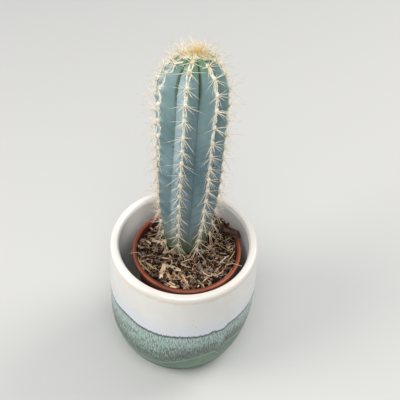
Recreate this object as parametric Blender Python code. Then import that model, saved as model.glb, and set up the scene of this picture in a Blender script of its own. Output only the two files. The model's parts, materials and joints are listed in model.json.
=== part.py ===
"""A blue torch cactus in its nursery pot, standing in a glazed cover pot.

Lengths are in metres and angles in degrees. +Z is up, the origin is on the table under the centre of the
cover pot, and -Y is the side that is seen from the front.
"""

import math
import random

import bmesh
import bpy
import numpy as np
from mathutils import Matrix, Vector

MM = 0.001
SEED = 12

# Gap left between pieces that touch
TOUCH = 0.3 * MM

# Glazed cover pot, turned on a wheel
COVER_RADIUS = 56.4 * MM
COVER_HEIGHT = 114.9 * MM
COVER_FOOT_RADIUS = 32.5 * MM
COVER_BELLY_HEIGHT = 67.0 * MM
COVER_TOP_RADIUS = 54.6 * MM
COVER_WALL = 6.4 * MM
COVER_FLOOR = 11.0 * MM
COVER_LIP_ROUNDING = 2.6 * MM
FOOT_RING_WIDTH = 5.0 * MM
FOOT_RECESS = 2.0 * MM
COVER_SEGMENTS = 40

# Plastic nursery pot, standing off centre on the cover pot's floor
NURSERY_CENTRE = (2.1 * MM, 4.8 * MM)
NURSERY_RADIUS = 41.1 * MM
NURSERY_TOP = 99.6 * MM
NURSERY_BASE_RADIUS = 29.5 * MM
NURSERY_WALL = 0.9 * MM
NURSERY_FLOOR = 1.4 * MM
RIM_WIDTH = 2.2 * MM
RIM_DROP = 5.0 * MM
DRAIN_HOLES = 6
DRAIN_HOLE_RADIUS = 3.0 * MM
DRAIN_HOLE_CIRCLE = 19.0 * MM
NURSERY_SEGMENTS = 36

# Potting mix: low at the front, mounded round the stem and heaped over the rim at the back right
SOIL_TOP = 96.4 * MM
SOIL_MOUND = 3.4 * MM
MOUND_RADIUS = 25.0 * MM
HEAP_CENTRE = (24.0 * MM, 27.0 * MM)
HEAP_HEIGHT = 6.5 * MM
HEAP_RADIUS = 10.0 * MM
DIP_CENTRE = (-28.0 * MM, 22.0 * MM)
DIP_DEPTH = 4.0 * MM
DIP_RADIUS = 12.0 * MM
SOIL_ROUGHNESS = 0.5 * MM
SOIL_SEGMENTS = 32
BARK_CHIPS = 26
BARK_SIZES = ((5.0, 9.5), (2.6, 4.6), (2.0, 3.2))
RIM_CHIP_PLACE = (34.5 * MM, 20.5 * MM, 102.5 * MM)
RIM_CHIP_SIZE = (15.5 * MM, 8.5 * MM, 4.4 * MM)
RIM_CHIP_TURN = math.radians(-28)
STEM_HOLE_RADIUS = 15.0 * MM

# Cactus stem: eight ribs, not quite evenly spread, that narrow into the soil and end in a dome
RIB_ANGLES_AT_FOOT = (-16.5, 32.0, 80.0, 124.0, 168.0, 210.0, 252.0, 291.0)
RIB_ANGLES_AT_TOP = (-7.0, 42.0, 82.0, 127.0, 173.0, 221.0, 270.0, 303.0)
RIBS = len(RIB_ANGLES_AT_FOOT)
STEM_FOOT = (0.4 * MM, 13.2 * MM)
STEM_ORIGIN = 94.0 * MM
STEM_HEIGHT = 180.0 * MM
STEM_BURIED = 22.0 * MM
STEM_LEAN = 0.9 * MM
DOME_HEIGHT = 33.0 * MM
DOME_POWER = 2.15
SIDE_POINTS = ((0, 12.6), (5, 14.4), (14, 16.5), (30, 18.7), (50, 21.0), (80, 22.6), (110, 23.0), (145, 23.5))
RIB_DEPTH_LOW = 0.07
RIB_DEPTH_HIGH = 0.27
CREST_ROUNDING = 0.16
ACROSS_A_RIB = (0.0, 0.1, 0.3, 0.5, 0.7, 0.9)

# Areoles. They lie half a spacing higher on every other rib, and the spacing widened in two spells of growth
AREOLE_SPACING = 10.6 * MM
FIRST_STATION = 14.5 * MM
GROWTH_SPELLS = ((30.0 * MM, 13.0 * MM, 0.28), (136.0 * MM, 15.0 * MM, 0.30))
CROWDING = 0.28
CROWDING_LEAST = 1.8 * MM
APEX_CLEAR = 5.4 * MM
FELT_WIDTH = 1.9 * MM
FELT_THICKNESS = 0.6 * MM
AREOLE_WIDTH = 3.3 * MM
AREOLE_THICKNESS = 1.5 * MM
CROWN_FELT_RADIUS = 7.0 * MM
CROWN_FELT_DROP = 2.2 * MM

# Spines. They hang down on the lower stem and stand straight out near the top
SPINE_ROOT_RADIUS = 0.42 * MM
RADIAL_LENGTH = 9.8 * MM
CENTRAL_LENGTH = 9.6 * MM
RADIALS_AT_TOP = (124, 236, 58, 302)
RADIALS_AT_FOOT = (140, 220, 86, 274)
RADIAL_LIFT = 26
ROOT_SPREAD = 0.5 * MM
DROOP = 46
DROOP_ENDS = (0.45, 0.85)
SPINE_CLEARANCE = 3.4 * MM
CROWDED_ABOVE = 0.93
CROWN_SPINES = 22
CROWN_SPINE_LENGTH = 7.8 * MM


def clear_scene():
    for obj in list(bpy.data.objects):
        bpy.data.objects.remove(obj)


def material(name, colour, roughness):
    made = bpy.data.materials.new(name)
    made.use_nodes = True
    shader = made.node_tree.nodes["Principled BSDF"]
    shader.inputs["Base Color"].default_value = (*colour, 1)
    shader.inputs["Roughness"].default_value = roughness
    shader.inputs["Metallic"].default_value = 0
    return made


def add_object(name, mesh, finish, collection=None):
    obj = bpy.data.objects.new(name, mesh)
    (collection or bpy.context.scene.collection).objects.link(obj)
    if finish:
        mesh.materials.append(finish)
    return obj


def object_from_bmesh(name, shape, finish, collection=None):
    bmesh.ops.recalc_face_normals(shape, faces=shape.faces)
    mesh = bpy.data.meshes.new(name)
    shape.to_mesh(mesh)
    shape.free()
    return add_object(name, mesh, finish, collection)


def turned(name, outline, segments, centre, finish):
    """A solid turned from an outline of (radius, height) points that starts and ends on the axis."""
    shape = bmesh.new()
    points = [shape.verts.new((radius, 0, height)) for radius, height in outline]
    for first, second in zip(points, points[1:]):
        shape.edges.new((first, second))
    bmesh.ops.spin(
        shape,
        geom=shape.verts[:] + shape.edges[:],
        cent=(0, 0, 0),
        axis=(0, 0, 1),
        angle=math.tau,
        steps=segments,
        use_merge=True,
    )
    bmesh.ops.remove_doubles(shape, verts=shape.verts, dist=1e-6)
    obj = object_from_bmesh(name, shape, finish)
    obj.location = (*centre, 0)
    obj.data.shade_smooth()
    obj.data.set_sharp_from_angle(angle=math.radians(40))
    return obj


def loft(name, rings, first_pole, last_pole, finish, collection=None):
    """A closed skin over rings of equal point counts, ended by a pole, or by a flat cap where it is None."""
    count = len(rings[0])
    points = [tuple(point) for ring in rings for point in ring]
    faces = []
    for row in range(len(rings) - 1):
        for k in range(count):
            low = row * count
            following = (k + 1) % count
            faces.append((low + k, low + following, low + count + following, low + count + k))
    for pole, row in ((first_pole, 0), (last_pole, len(rings) - 1)):
        ring = [row * count + k for k in range(count)]
        if pole is None:
            faces.append(tuple(ring))
            continue
        points.append(tuple(pole))
        faces.extend((ring[k], ring[(k + 1) % count], len(points) - 1) for k in range(count))
    shape = bmesh.new()
    verts = [shape.verts.new(point) for point in points]
    for face in faces:
        shape.faces.new([verts[index] for index in face])
    bmesh.ops.triangulate(shape, faces=shape.faces)
    return object_from_bmesh(name, shape, finish, collection)


def cover_outline():
    """Outside from the foot ring up the belly and over the lip, then down the inside to the floor."""
    foot_inner = COVER_FOOT_RADIUS - FOOT_RING_WIDTH
    outline = [
        (0, FOOT_RECESS),
        (foot_inner - FOOT_RECESS, FOOT_RECESS),
        (foot_inner, 0),
        (COVER_FOOT_RADIUS, 0),
    ]
    belly = COVER_RADIUS - COVER_FOOT_RADIUS
    for step in (0.14, 0.28, 0.43, 0.6, 0.8, 1.0):
        turn = step * math.pi / 2
        outline.append((
            COVER_FOOT_RADIUS + belly * math.sin(turn),
            COVER_BELLY_HEIGHT * (1 - math.cos(turn)),
        ))
    outline.append(((COVER_RADIUS + COVER_TOP_RADIUS) / 2 + 0.4 * MM, COVER_HEIGHT * 0.82))
    inside = COVER_TOP_RADIUS - COVER_WALL
    shoulder = COVER_HEIGHT - COVER_LIP_ROUNDING
    for turn in (0, 45, 90):
        outline.append((
            COVER_TOP_RADIUS - COVER_LIP_ROUNDING * (1 - math.cos(math.radians(turn))),
            shoulder + COVER_LIP_ROUNDING * math.sin(math.radians(turn)),
        ))
    for turn in (90, 45, 0):
        outline.append((
            inside + COVER_LIP_ROUNDING * (1 - math.cos(math.radians(turn))),
            shoulder + COVER_LIP_ROUNDING * math.sin(math.radians(turn)),
        ))
    outline.append((inside, COVER_HEIGHT * 0.4))
    floor_radius = NURSERY_BASE_RADIUS + math.hypot(*NURSERY_CENTRE) + 2 * MM
    outline.append((inside - 2.5 * MM, COVER_FLOOR + 13 * MM))
    outline.append((floor_radius, COVER_FLOOR))
    outline.append((0, COVER_FLOOR))
    return outline


def make_cover_pot():
    glaze = material("glazed_stoneware", (0.80, 0.80, 0.78), 0.35)
    return turned("cover_pot", cover_outline(), COVER_SEGMENTS, (0, 0), glaze)


def nursery_outline():
    """The pot's outside from its base to the turned-over rim, then its inside back to the floor."""
    base = COVER_FLOOR + TOUCH
    wall_top = NURSERY_RADIUS - RIM_WIDTH
    return [
        (0, base),
        (NURSERY_BASE_RADIUS, base),
        (wall_top - 0.3 * MM, NURSERY_TOP - RIM_DROP - 1.0 * MM),
        (NURSERY_RADIUS - 0.3 * MM, NURSERY_TOP - RIM_DROP),
        (NURSERY_RADIUS, NURSERY_TOP - 0.8 * MM),
        (NURSERY_RADIUS - 0.7 * MM, NURSERY_TOP),
        (wall_top - NURSERY_WALL + 0.6 * MM, NURSERY_TOP),
        (wall_top - NURSERY_WALL, NURSERY_TOP - 0.7 * MM),
        (NURSERY_BASE_RADIUS - NURSERY_WALL, base + NURSERY_FLOOR),
        (0, base + NURSERY_FLOOR),
    ]


def make_nursery_pot():
    plastic = material("terracotta_plastic", (0.42, 0.11, 0.06), 0.5)
    pot = turned("nursery_pot", nursery_outline(), NURSERY_SEGMENTS, NURSERY_CENTRE, plastic)
    drill = bmesh.new()
    for k in range(DRAIN_HOLES):
        angle = math.tau * k / DRAIN_HOLES
        place = Matrix.Translation((
            NURSERY_CENTRE[0] + DRAIN_HOLE_CIRCLE * math.cos(angle),
            NURSERY_CENTRE[1] + DRAIN_HOLE_CIRCLE * math.sin(angle),
            COVER_FLOOR + NURSERY_FLOOR / 2,
        ))
        bmesh.ops.create_cone(
            drill, cap_ends=True, segments=10, radius1=DRAIN_HOLE_RADIUS, radius2=DRAIN_HOLE_RADIUS,
            depth=6 * NURSERY_FLOOR, matrix=place,
        )
    cutter = object_from_bmesh("drain_hole_cutter", drill, None)
    cutter.hide_render = True
    cutter.display_type = "WIRE"
    cut = pot.modifiers.new("drain_holes", "BOOLEAN")
    cut.operation = "DIFFERENCE"
    cut.object = cutter
    return pot


def dome_radius(height):
    share = np.clip((height - (STEM_HEIGHT - DOME_HEIGHT)) / DOME_HEIGHT, 0, 1)
    return np.sqrt(1 - share ** DOME_POWER)


def crest_radius(height):
    """Radius of the rib crests at a height above the stem's origin: a smooth side, then the dome."""
    heights = np.array([point[0] for point in SIDE_POINTS]) * MM
    radii = np.array([point[1] for point in SIDE_POINTS]) * MM
    slopes = np.gradient(radii, heights)
    slopes[-1] = 0
    k = np.clip(np.searchsorted(heights, height, side="right") - 1, 0, len(heights) - 2)
    span = heights[k + 1] - heights[k]
    t = np.clip((height - heights[k]) / span, 0, 1)
    side = (
        radii[k] * (2 * t**3 - 3 * t**2 + 1)
        + radii[k + 1] * (3 * t**2 - 2 * t**3)
        + span * (slopes[k] * (t**3 - 2 * t**2 + t) + slopes[k + 1] * (t**3 - t**2))
    )
    return side * dome_radius(height)


def crest_table(samples=900):
    """Heights along a crest and the length of the crest up to each."""
    turn = np.linspace(0, math.pi / 2, samples)
    heights = STEM_HEIGHT * np.sin(turn)
    radii = crest_radius(heights)
    lengths = np.concatenate([[0], np.cumsum(np.hypot(np.diff(heights), np.diff(radii)))])
    return heights, lengths


def stations():
    """Heights of the areoles of both kinds of rib in turn, up the crest and crowding towards the apex."""
    heights, lengths = crest_table()
    whole = lengths[-1]
    found = []
    along = FIRST_STATION
    while whole - along > APEX_CLEAR:
        found.append(along)
        growth = 1 + sum(more * math.exp(-(((along - at) / width) ** 2)) for at, width, more in GROWTH_SPELLS)
        along += max(CROWDING_LEAST, min(AREOLE_SPACING / 2 * growth, CROWDING * (whole - along)))
    return np.interp(found, lengths, heights)


def rib_angle(rib, height, across=0):
    """Direction of a rib's crest, or of a share of the way to the next, from the front towards the right."""
    share = min(1, max(0, height / STEM_HEIGHT))
    crests = []
    for k in (rib, rib + 1):
        foot = RIB_ANGLES_AT_FOOT[k % RIBS] + 360 * (k // RIBS)
        top = RIB_ANGLES_AT_TOP[k % RIBS] + 360 * (k // RIBS)
        crests.append(foot + (top - foot) * share)
    return math.radians(crests[0] + (crests[1] - crests[0]) * across)


def stem_point(angle, radius, height):
    return Vector((
        STEM_FOOT[0] + STEM_LEAN * height / STEM_HEIGHT + radius * math.sin(angle),
        STEM_FOOT[1] - radius * math.cos(angle),
        STEM_ORIGIN + height,
    ))


def has_areole(rib, station):
    return station % 2 == (rib + 1) % 2


def rib_depth(height):
    """Depth of the valleys as a share of the crest's radius: shallow at the foot, deep at the top."""
    share = min(1, max(0, height / (STEM_HEIGHT * 0.85)))
    return RIB_DEPTH_LOW + (RIB_DEPTH_HIGH - RIB_DEPTH_LOW) * share


def rib_section(u):
    """Height of a rib's section above the valley, from 1 on the crest at u 0 to 0 in the valley at u 1."""
    flat = math.sqrt(1 + CREST_ROUNDING**2) - CREST_ROUNDING
    return 1 - (math.sqrt(u * u + CREST_ROUNDING**2) - CREST_ROUNDING) / flat


def stem_ring(height):
    """One level of the ribbed stem."""
    ring = []
    crest = float(crest_radius(height))
    depth = rib_depth(height)
    for rib in range(RIBS):
        for across in ACROSS_A_RIB:
            share = rib_section(2 * min(across, 1 - across))
            radius = crest * (1 - depth * (1 - share))
            ring.append(stem_point(rib_angle(rib, height, across), radius, height))
    return ring


def make_stem(levels):
    flesh = material("blue_green_skin", (0.14, 0.26, 0.28), 0.55)
    rings = []
    turns = [rib_angle(rib, 0, across) for rib in range(RIBS) for across in ACROSS_A_RIB]
    for depth, radius in ((STEM_BURIED * 0.9, 5.5 * MM), (STEM_BURIED * 0.5, 10.0 * MM)):
        rings.append([stem_point(turn, radius, -depth) for turn in turns])
    rings.extend(stem_ring(height) for height in (0.0, 5.0 * MM))
    for station, height in enumerate(levels):
        if station % 2 == 0 or height > 0.75 * STEM_HEIGHT:
            rings.append(stem_ring(height))
    stem = loft("cactus_stem", rings, stem_point(0, 0, -STEM_BURIED), stem_point(0, 0, STEM_HEIGHT), flesh)
    stem.data.shade_smooth()
    stem.data.set_sharp_from_angle(angle=math.radians(50))
    return stem


def crest_frame(rib, height):
    """A point on a crest, with the directions outwards, up along the crest and sideways."""
    reach = 0.4 * MM

    def at(level):
        return stem_point(rib_angle(rib, level), float(crest_radius(level)), level)

    up = (at(height + reach) - at(height - reach)).normalized()
    angle = rib_angle(rib, height)
    side = Vector((math.cos(angle), math.sin(angle), 0))
    outward = side.cross(up).normalized()
    if outward.dot(Vector((math.sin(angle), -math.cos(angle), 0.2))) < 0:
        outward.negate()
    return at(height), outward, up, side


def make_felt_strip(rib, levels, collection):
    """The band of wool on one crest: narrow between the areoles, wide and thick on each of them."""
    rings = []
    for station, height in enumerate(levels):
        place, outward, _, side = crest_frame(rib, height)
        shrink = 0.55 + 0.45 * float(dome_radius(height))
        wide = (AREOLE_WIDTH if has_areole(rib, station) else FELT_WIDTH) / 2 * shrink
        thick = AREOLE_THICKNESS if has_areole(rib, station) else FELT_THICKNESS
        low = outward * TOUCH
        high = outward * (TOUCH + thick)
        rings.append([
            place - side * wide + low,
            place + side * wide + low,
            place + side * wide * 0.55 + high,
            place - side * wide * 0.55 + high,
        ])
    return loft(f"felt_{rib}", rings, None, None, None, collection)


def make_crown_felt(finish):
    """The woolly cap over the growing point. The strips of felt run in under its rim."""
    count = 16
    rings = []
    for share, above in ((0.86, 0.7), (1.0, 0.9), (0.98, 1.4), (0.7, 1.9), (0.36, 2.2)):
        radius = CROWN_FELT_RADIUS * share
        height = STEM_HEIGHT - CROWN_FELT_DROP * share**2
        rings.append([
            stem_point(math.tau * k / count, radius, height) + Vector((0, 0, above * MM)) for k in range(count)
        ])
    under = stem_point(0, 0, STEM_HEIGHT) + Vector((0, 0, 0.7 * MM))
    over = stem_point(0, 0, STEM_HEIGHT) + Vector((0, 0, 2.3 * MM))
    return loft("wool_and_spines", rings, under, over, finish)


def add_spine(collection, shared, root, direction, length):
    """A three-sided needle whose root is sunk in the wool."""
    spine = bpy.data.objects.new("spine", shared)
    turn = direction.to_track_quat("Z", "Y").to_matrix().to_4x4()
    spine.matrix_world = Matrix.Translation(root) @ turn @ Matrix.Diagonal((1, 1, length, 1))
    collection.objects.link(spine)


def needle_mesh():
    shape = bmesh.new()
    bmesh.ops.create_cone(
        shape, cap_ends=True, segments=3, radius1=SPINE_ROOT_RADIUS, radius2=0, depth=1,
        matrix=Matrix.Translation((0, 0, 0.5)),
    )
    bmesh.ops.remove_doubles(shape, verts=shape.verts, dist=1e-6)
    bmesh.ops.recalc_face_normals(shape, faces=shape.faces)
    mesh = bpy.data.meshes.new("spine")
    shape.to_mesh(mesh)
    shape.free()
    return mesh


def clear_of_soil(root, direction, length):
    """The direction, turned up until the tip of the spine stays above the soil and its chips."""
    tip = root + direction * length
    while tip.z < ground(tip.x, tip.y) + SPINE_CLEARANCE:
        direction = (direction + Vector((0, 0, 0.06))).normalized()
        tip = root + direction * length
    return direction


def grow_spines(rib, levels, draw, collection, shared):
    """Radials and a central on every areole of one rib: hanging near the foot, standing out near the top."""
    for station, height in enumerate(levels):
        if not has_areole(rib, station):
            continue
        place, outward, up, side = crest_frame(rib, height)
        low, high = DROOP_ENDS
        hang = min(1, max(0, (high - height / STEM_HEIGHT) / (high - low)))
        crowded = height > CROWDED_ABOVE * STEM_HEIGHT
        root = place + outward * (TOUCH + AREOLE_THICKNESS * 0.45)
        for at_top, at_foot in list(zip(RADIALS_AT_TOP, RADIALS_AT_FOOT))[:2 if crowded else None]:
            turn = math.radians(at_top + (at_foot - at_top) * hang + draw.uniform(-9, 9))
            lift = math.radians(RADIAL_LIFT + draw.uniform(-3, 8))
            flat = up * math.cos(turn) + side * math.sin(turn)
            length = RADIAL_LENGTH * draw.uniform(0.8, 1.15)
            direction = clear_of_soil(root, flat * math.cos(lift) + outward * math.sin(lift), length)
            add_spine(collection, shared, root + direction * ROOT_SPREAD, direction, length)
        fall = math.radians(-DROOP * hang + draw.uniform(-9, 9))
        direction = outward * math.cos(fall) + up * math.sin(fall) + side * draw.uniform(-0.3, 0.3)
        length = CENTRAL_LENGTH * draw.uniform(0.85, 1.1)
        add_spine(collection, shared, root, clear_of_soil(root, direction.normalized(), length), length)


def grow_crown_spines(draw, collection, shared):
    """Upright spines of the youngest areoles, spread over the crown felt by the golden angle."""
    top = stem_point(0, 0, STEM_HEIGHT)
    for k in range(CROWN_SPINES):
        share = math.sqrt((k + 0.5) / CROWN_SPINES)
        turn = k * math.pi * (3 - math.sqrt(5))
        away = Vector((math.cos(turn), math.sin(turn), 0))
        rise = Vector((0, 0, 1.4 * MM - CROWN_FELT_DROP * share**2))
        root = top + away * share * CROWN_FELT_RADIUS * 0.7 + rise
        lean = math.radians(8 + 44 * share + draw.uniform(-5, 5))
        direction = away * math.sin(lean) + Vector((0, 0, math.cos(lean)))
        add_spine(collection, shared, root, direction, CROWN_SPINE_LENGTH * draw.uniform(0.8, 1.1))


def make_wool_and_spines(levels):
    """One body: the felt of all the ribs joins at the crown, and every spine is rooted in it."""
    cream = material("cream_wool_and_spines", (0.78, 0.68, 0.48), 0.8)
    draw = random.Random(SEED)
    repeats = bpy.data.collections.new("felt_and_spines")
    bpy.context.scene.collection.children.link(repeats)
    crown = make_crown_felt(cream)
    shared = needle_mesh()
    for rib in range(RIBS):
        make_felt_strip(rib, levels, repeats)
        grow_spines(rib, levels, draw, repeats, shared)
    grow_crown_spines(draw, repeats, shared)
    join_collection(crown, repeats)
    return crown


def join_collection(body, repeats):
    """Fuses everything in the collection into the body, and then removes it."""
    bpy.context.view_layer.update()
    join = body.modifiers.new("join", "BOOLEAN")
    join.operation = "UNION"
    join.operand_type = "COLLECTION"
    join.collection = repeats
    join.solver = "MANIFOLD"
    bpy.context.view_layer.update()
    evaluated = body.evaluated_get(bpy.context.evaluated_depsgraph_get())
    fused = bpy.data.meshes.new_from_object(evaluated)
    body.modifiers.clear()
    body.data = fused
    for obj in list(repeats.objects):
        bpy.data.objects.remove(obj)
    bpy.data.collections.remove(repeats)


def ground(x, y):
    """Height of the soil: a mound at the plant, a heap at the back right, a dip at the back left, crumbs."""
    from_stem = math.hypot(x - STEM_FOOT[0], y - STEM_FOOT[1])
    from_heap = math.hypot(x - HEAP_CENTRE[0], y - HEAP_CENTRE[1])
    from_dip = math.hypot(x - DIP_CENTRE[0], y - DIP_CENTRE[1])
    rough = math.sin(x * 610 + 1.3 * math.sin(y * 450)) * math.cos(y * 530 + 0.8)
    rough += 0.6 * math.sin(x * 1130 - y * 970)
    return (
        SOIL_TOP
        + SOIL_MOUND * math.exp(-((from_stem / MOUND_RADIUS) ** 3))
        + HEAP_HEIGHT * math.exp(-((from_heap / HEAP_RADIUS) ** 2))
        - DIP_DEPTH * math.exp(-((from_dip / DIP_RADIUS) ** 2))
        + SOIL_ROUGHNESS * rough
    )


def soil_radius(height):
    """Inside of the nursery pot at a height, less the gap."""
    base = COVER_FLOOR + TOUCH + NURSERY_FLOOR
    top_radius = NURSERY_RADIUS - RIM_WIDTH - NURSERY_WALL
    share = (height - base) / (NURSERY_TOP - 0.7 * MM - base)
    low = NURSERY_BASE_RADIUS - NURSERY_WALL
    facet = math.cos(math.pi / NURSERY_SEGMENTS)
    return (low + (top_radius - low) * share) * facet - TOUCH


def make_soil_body(finish):
    """The root ball: a tapered plug with a rough top and the hole that the stem's foot fills."""
    base = COVER_FLOOR + 2 * TOUCH + NURSERY_FLOOR
    centre = Vector((*NURSERY_CENTRE, 0))
    hole_centre = Vector((*STEM_FOOT, 0))
    turns = [math.tau * k / SOIL_SEGMENTS for k in range(SOIL_SEGMENTS)]
    ways = [Vector((math.cos(turn), math.sin(turn), 0)) for turn in turns]
    rings = [[centre + way * soil_radius(base) + Vector((0, 0, base)) for way in ways]]
    edge_height = SOIL_TOP - 0.6 * MM
    for share in (1.0, 0.86, 0.7, 0.5, 0.27, 0.0):
        ring = []
        for way in ways:
            outer = centre + way * soil_radius(edge_height)
            inner = hole_centre + way * STEM_HOLE_RADIUS
            point = inner.lerp(outer, share)
            height = ground(point.x, point.y) if share else SOIL_TOP + SOIL_MOUND - 0.6 * MM
            if share == 1.0:
                height = min(height, edge_height)
            ring.append(Vector((point.x, point.y, height)))
        rings.append(ring)
    for radius, depth in ((13.3 * MM, 0.0), (10.6 * MM, STEM_BURIED * 0.5), (6.2 * MM, STEM_BURIED * 0.94)):
        rings.append([hole_centre + way * radius + Vector((0, 0, STEM_ORIGIN - depth)) for way in ways])
    floor = hole_centre + Vector((0, 0, STEM_ORIGIN - STEM_BURIED - TOUCH))
    return loft("soil", rings, centre + Vector((0, 0, base)), floor, finish)


def add_chip(chips, place, size, turn, tilt):
    """A splinter of bark with cut corners."""
    shape = bmesh.new()
    bmesh.ops.create_cube(shape, size=1)
    for vert in shape.verts:
        if vert.co.x > 0:
            vert.co.y *= 0.6
        if vert.co.z > 0:
            vert.co.y *= 0.75
    chip = object_from_bmesh("chip", shape, None, chips)
    chip.scale = size
    chip.rotation_euler = (tilt, -tilt * 0.6, turn)
    chip.location = place


def make_soil():
    """The soil with its bark chips, half sunk in it. A large one rests on the heap, over the pot's rim."""
    mix = material("potting_mix", (0.09, 0.05, 0.03), 0.95)
    draw = random.Random(SEED + 1)
    soil = make_soil_body(mix)
    chips = bpy.data.collections.new("bark_chips")
    bpy.context.scene.collection.children.link(chips)
    reach = soil_radius(SOIL_TOP)
    while len(chips.objects) < BARK_CHIPS:
        turn = draw.uniform(0, math.tau)
        away = reach * math.sqrt(draw.uniform(0.1, 0.72))
        x = NURSERY_CENTRE[0] + away * math.cos(turn)
        y = NURSERY_CENTRE[1] + away * math.sin(turn)
        size = [draw.uniform(*pair) * MM for pair in BARK_SIZES]
        clear = STEM_HOLE_RADIUS + 7 * MM
        if math.hypot(x - STEM_FOOT[0], y - STEM_FOOT[1]) > clear:
            place = (x, y, ground(x, y) + size[2] * 0.1)
            add_chip(chips, place, size, draw.uniform(0, math.pi), draw.uniform(-0.3, 0.3))
    add_chip(chips, RIM_CHIP_PLACE, RIM_CHIP_SIZE, RIM_CHIP_TURN, 0)
    join_collection(soil, chips)
    return soil


def main():
    clear_scene()
    make_cover_pot()
    make_nursery_pot()
    make_soil()
    levels = stations()
    make_stem(levels)
    make_wool_and_spines(levels)


main()
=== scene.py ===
"""Looks of a blue torch cactus in its nursery pot and glazed cover pot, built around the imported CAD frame.

It is laid out as a Blender add-on and run as a script. Lengths are in metres, +Z is up, the origin is on the
floor under the cover pot, and -Y is the side seen from the front. Each piece keeps the form of the CAD node
that it stands for, worked out from the same driving sizes. The numbers that a finish compares with a place or
a height, and the grain of its noises, are in metres too.
"""

import json
import math

import bpy
import numpy as np
from mathutils import Matrix, Vector

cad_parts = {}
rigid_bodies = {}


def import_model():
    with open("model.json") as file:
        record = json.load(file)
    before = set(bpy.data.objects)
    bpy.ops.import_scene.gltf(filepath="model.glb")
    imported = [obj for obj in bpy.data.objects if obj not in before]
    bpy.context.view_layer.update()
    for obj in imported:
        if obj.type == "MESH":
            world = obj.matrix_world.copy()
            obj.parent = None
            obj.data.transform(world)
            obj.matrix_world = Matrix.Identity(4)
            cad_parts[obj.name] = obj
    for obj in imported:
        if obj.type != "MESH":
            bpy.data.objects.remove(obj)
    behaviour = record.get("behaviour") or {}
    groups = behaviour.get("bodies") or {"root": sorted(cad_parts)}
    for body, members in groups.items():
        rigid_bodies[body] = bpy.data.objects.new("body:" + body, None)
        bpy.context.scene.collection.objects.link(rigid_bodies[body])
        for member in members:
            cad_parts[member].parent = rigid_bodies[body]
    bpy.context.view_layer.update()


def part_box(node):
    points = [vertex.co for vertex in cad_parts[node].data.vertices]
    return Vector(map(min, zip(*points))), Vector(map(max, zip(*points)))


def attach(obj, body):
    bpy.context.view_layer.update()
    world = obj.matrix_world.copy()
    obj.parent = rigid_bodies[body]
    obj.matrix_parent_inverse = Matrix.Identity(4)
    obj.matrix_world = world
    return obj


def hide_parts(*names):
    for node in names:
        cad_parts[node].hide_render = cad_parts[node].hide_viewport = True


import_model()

bl_info = {
    "name": "Potted Torch Cactus",
    "version": (1, 0, 0),
    "blender": (4, 5, 0),
    "location": "View3D > Sidebar > Cactus",
    "description": "Builds a spiny blue torch cactus in a nursery pot and a glazed cover pot",
    "category": "Object",
}

MM = 0.001
TAU = math.tau
UP = np.array([0.0, 0.0, 1.0])
TOUCH = 0.3 * MM

# Seeds of the random draws
CRUMB_SEED = 14
CHIP_SEED = 15
LARGE_FLAKE_SEED = 16
CHUNK_SEED = 17
STRAW_SEED = 18
FIBRE_SEED = 19
PAD_SEED = 20
CORD_SEED = 21
CUSHION_SEED = 22
HAIR_SEED = 23
SPINE_SEED = 25
BRISTLE_SEED = 26
SPILL_SEED = 29

# Camera, fitted to the picture's 400 x 400 frame
CAMERA_PLACE = (11.98 * MM, -371.70 * MM, 551.82 * MM)
CAMERA_DOWN = math.radians(46.585)
CAMERA_YAW = math.radians(-0.330)
CAMERA_ROLL = math.radians(3.437)
CAMERA_LENS = 69.76
CAMERA_SENSOR = 36.0
FRAME_PIXELS = 400
SIGHT_ROUNDS = 12

# Studio: each lamp's name, place, share of the key light's power, and tint
LAMPS = (
    ("key_light", (-1.0, -0.36, 0.89), 1.0, (1.0, 0.985, 0.96)),
    ("top_light", (0.0, -0.61, 1.29), 0.85, (0.98, 0.985, 1.0)),
    ("back_light", (0.86, 0.5, 0.98), 0.95, (1.0, 0.99, 0.97)),
)
LAMP_SIZE = 0.8
LAMP_TARGET = (0, 0, 0.14)
SKY_TINT = (0.93, 0.96, 1.0)
FLOOR_REACH = 4.0

# Cover pot. Its wall has lobes, each with their number, phase and height, and a bulge low on one side. Both
# fade in between two heights
COVER_TOP_RADIUS = 54.6 * MM
COVER_FOOT_RADIUS = 32.5 * MM
COVER_BELLY_HEIGHT = 67.0 * MM
COVER_WALL = 6.4 * MM
COVER_FLOOR = 11.0 * MM
LIP_ROUNDING = 2.6 * MM
INNER_ROUNDING = (2.1 * MM, 3.8 * MM)
INNER_GLAZE_RADIUS = 49.0 * MM
LOBES = ((2, 0.7, 0.16 * MM), (3, 2.0, 0.10 * MM))
LOBE_FADE = (30 * MM, 80 * MM)
FOOT_BULGE = 2.3 * MM
BULGE_WAY = (-0.77, -0.64, 0.0)
BULGE_FADE = (62 * MM, 34 * MM)
FOOT_RING_WIDTH = 5.0 * MM
FOOT_RECESS = 2.0 * MM
FOOT_ROUNDING = 0.9 * MM
POLE_GAP = 4 * MM
COVER_SEGMENTS = 192

# How the dark line and the upper edge of the sage band step up and down across the pot: by a smooth rise
# between two places, or near one place within a reach, with the height of the step, all in millimetres
LINE_STEPS = (
    ("near", 25.5, 3.5, 1.8),
    ("rise", 34.0, 37.2, 1.8),
    ("near", 32.5, 3.5, -1.0),
    ("near", -39.0, 11.0, 2.2),
)
SAGE_HEIGHT = 29.0 * MM
SAGE_STEPS = (
    ("rise", -28.0, 26.0, 14.8),
    ("rise", -30.0, -47.0, 11.0),
    ("rise", 41.0, 52.0, -6.0),
    ("rise", 32.5, 35.8, 4.5),
    ("near", 31.5, 4.0, -8.0),
)

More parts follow.
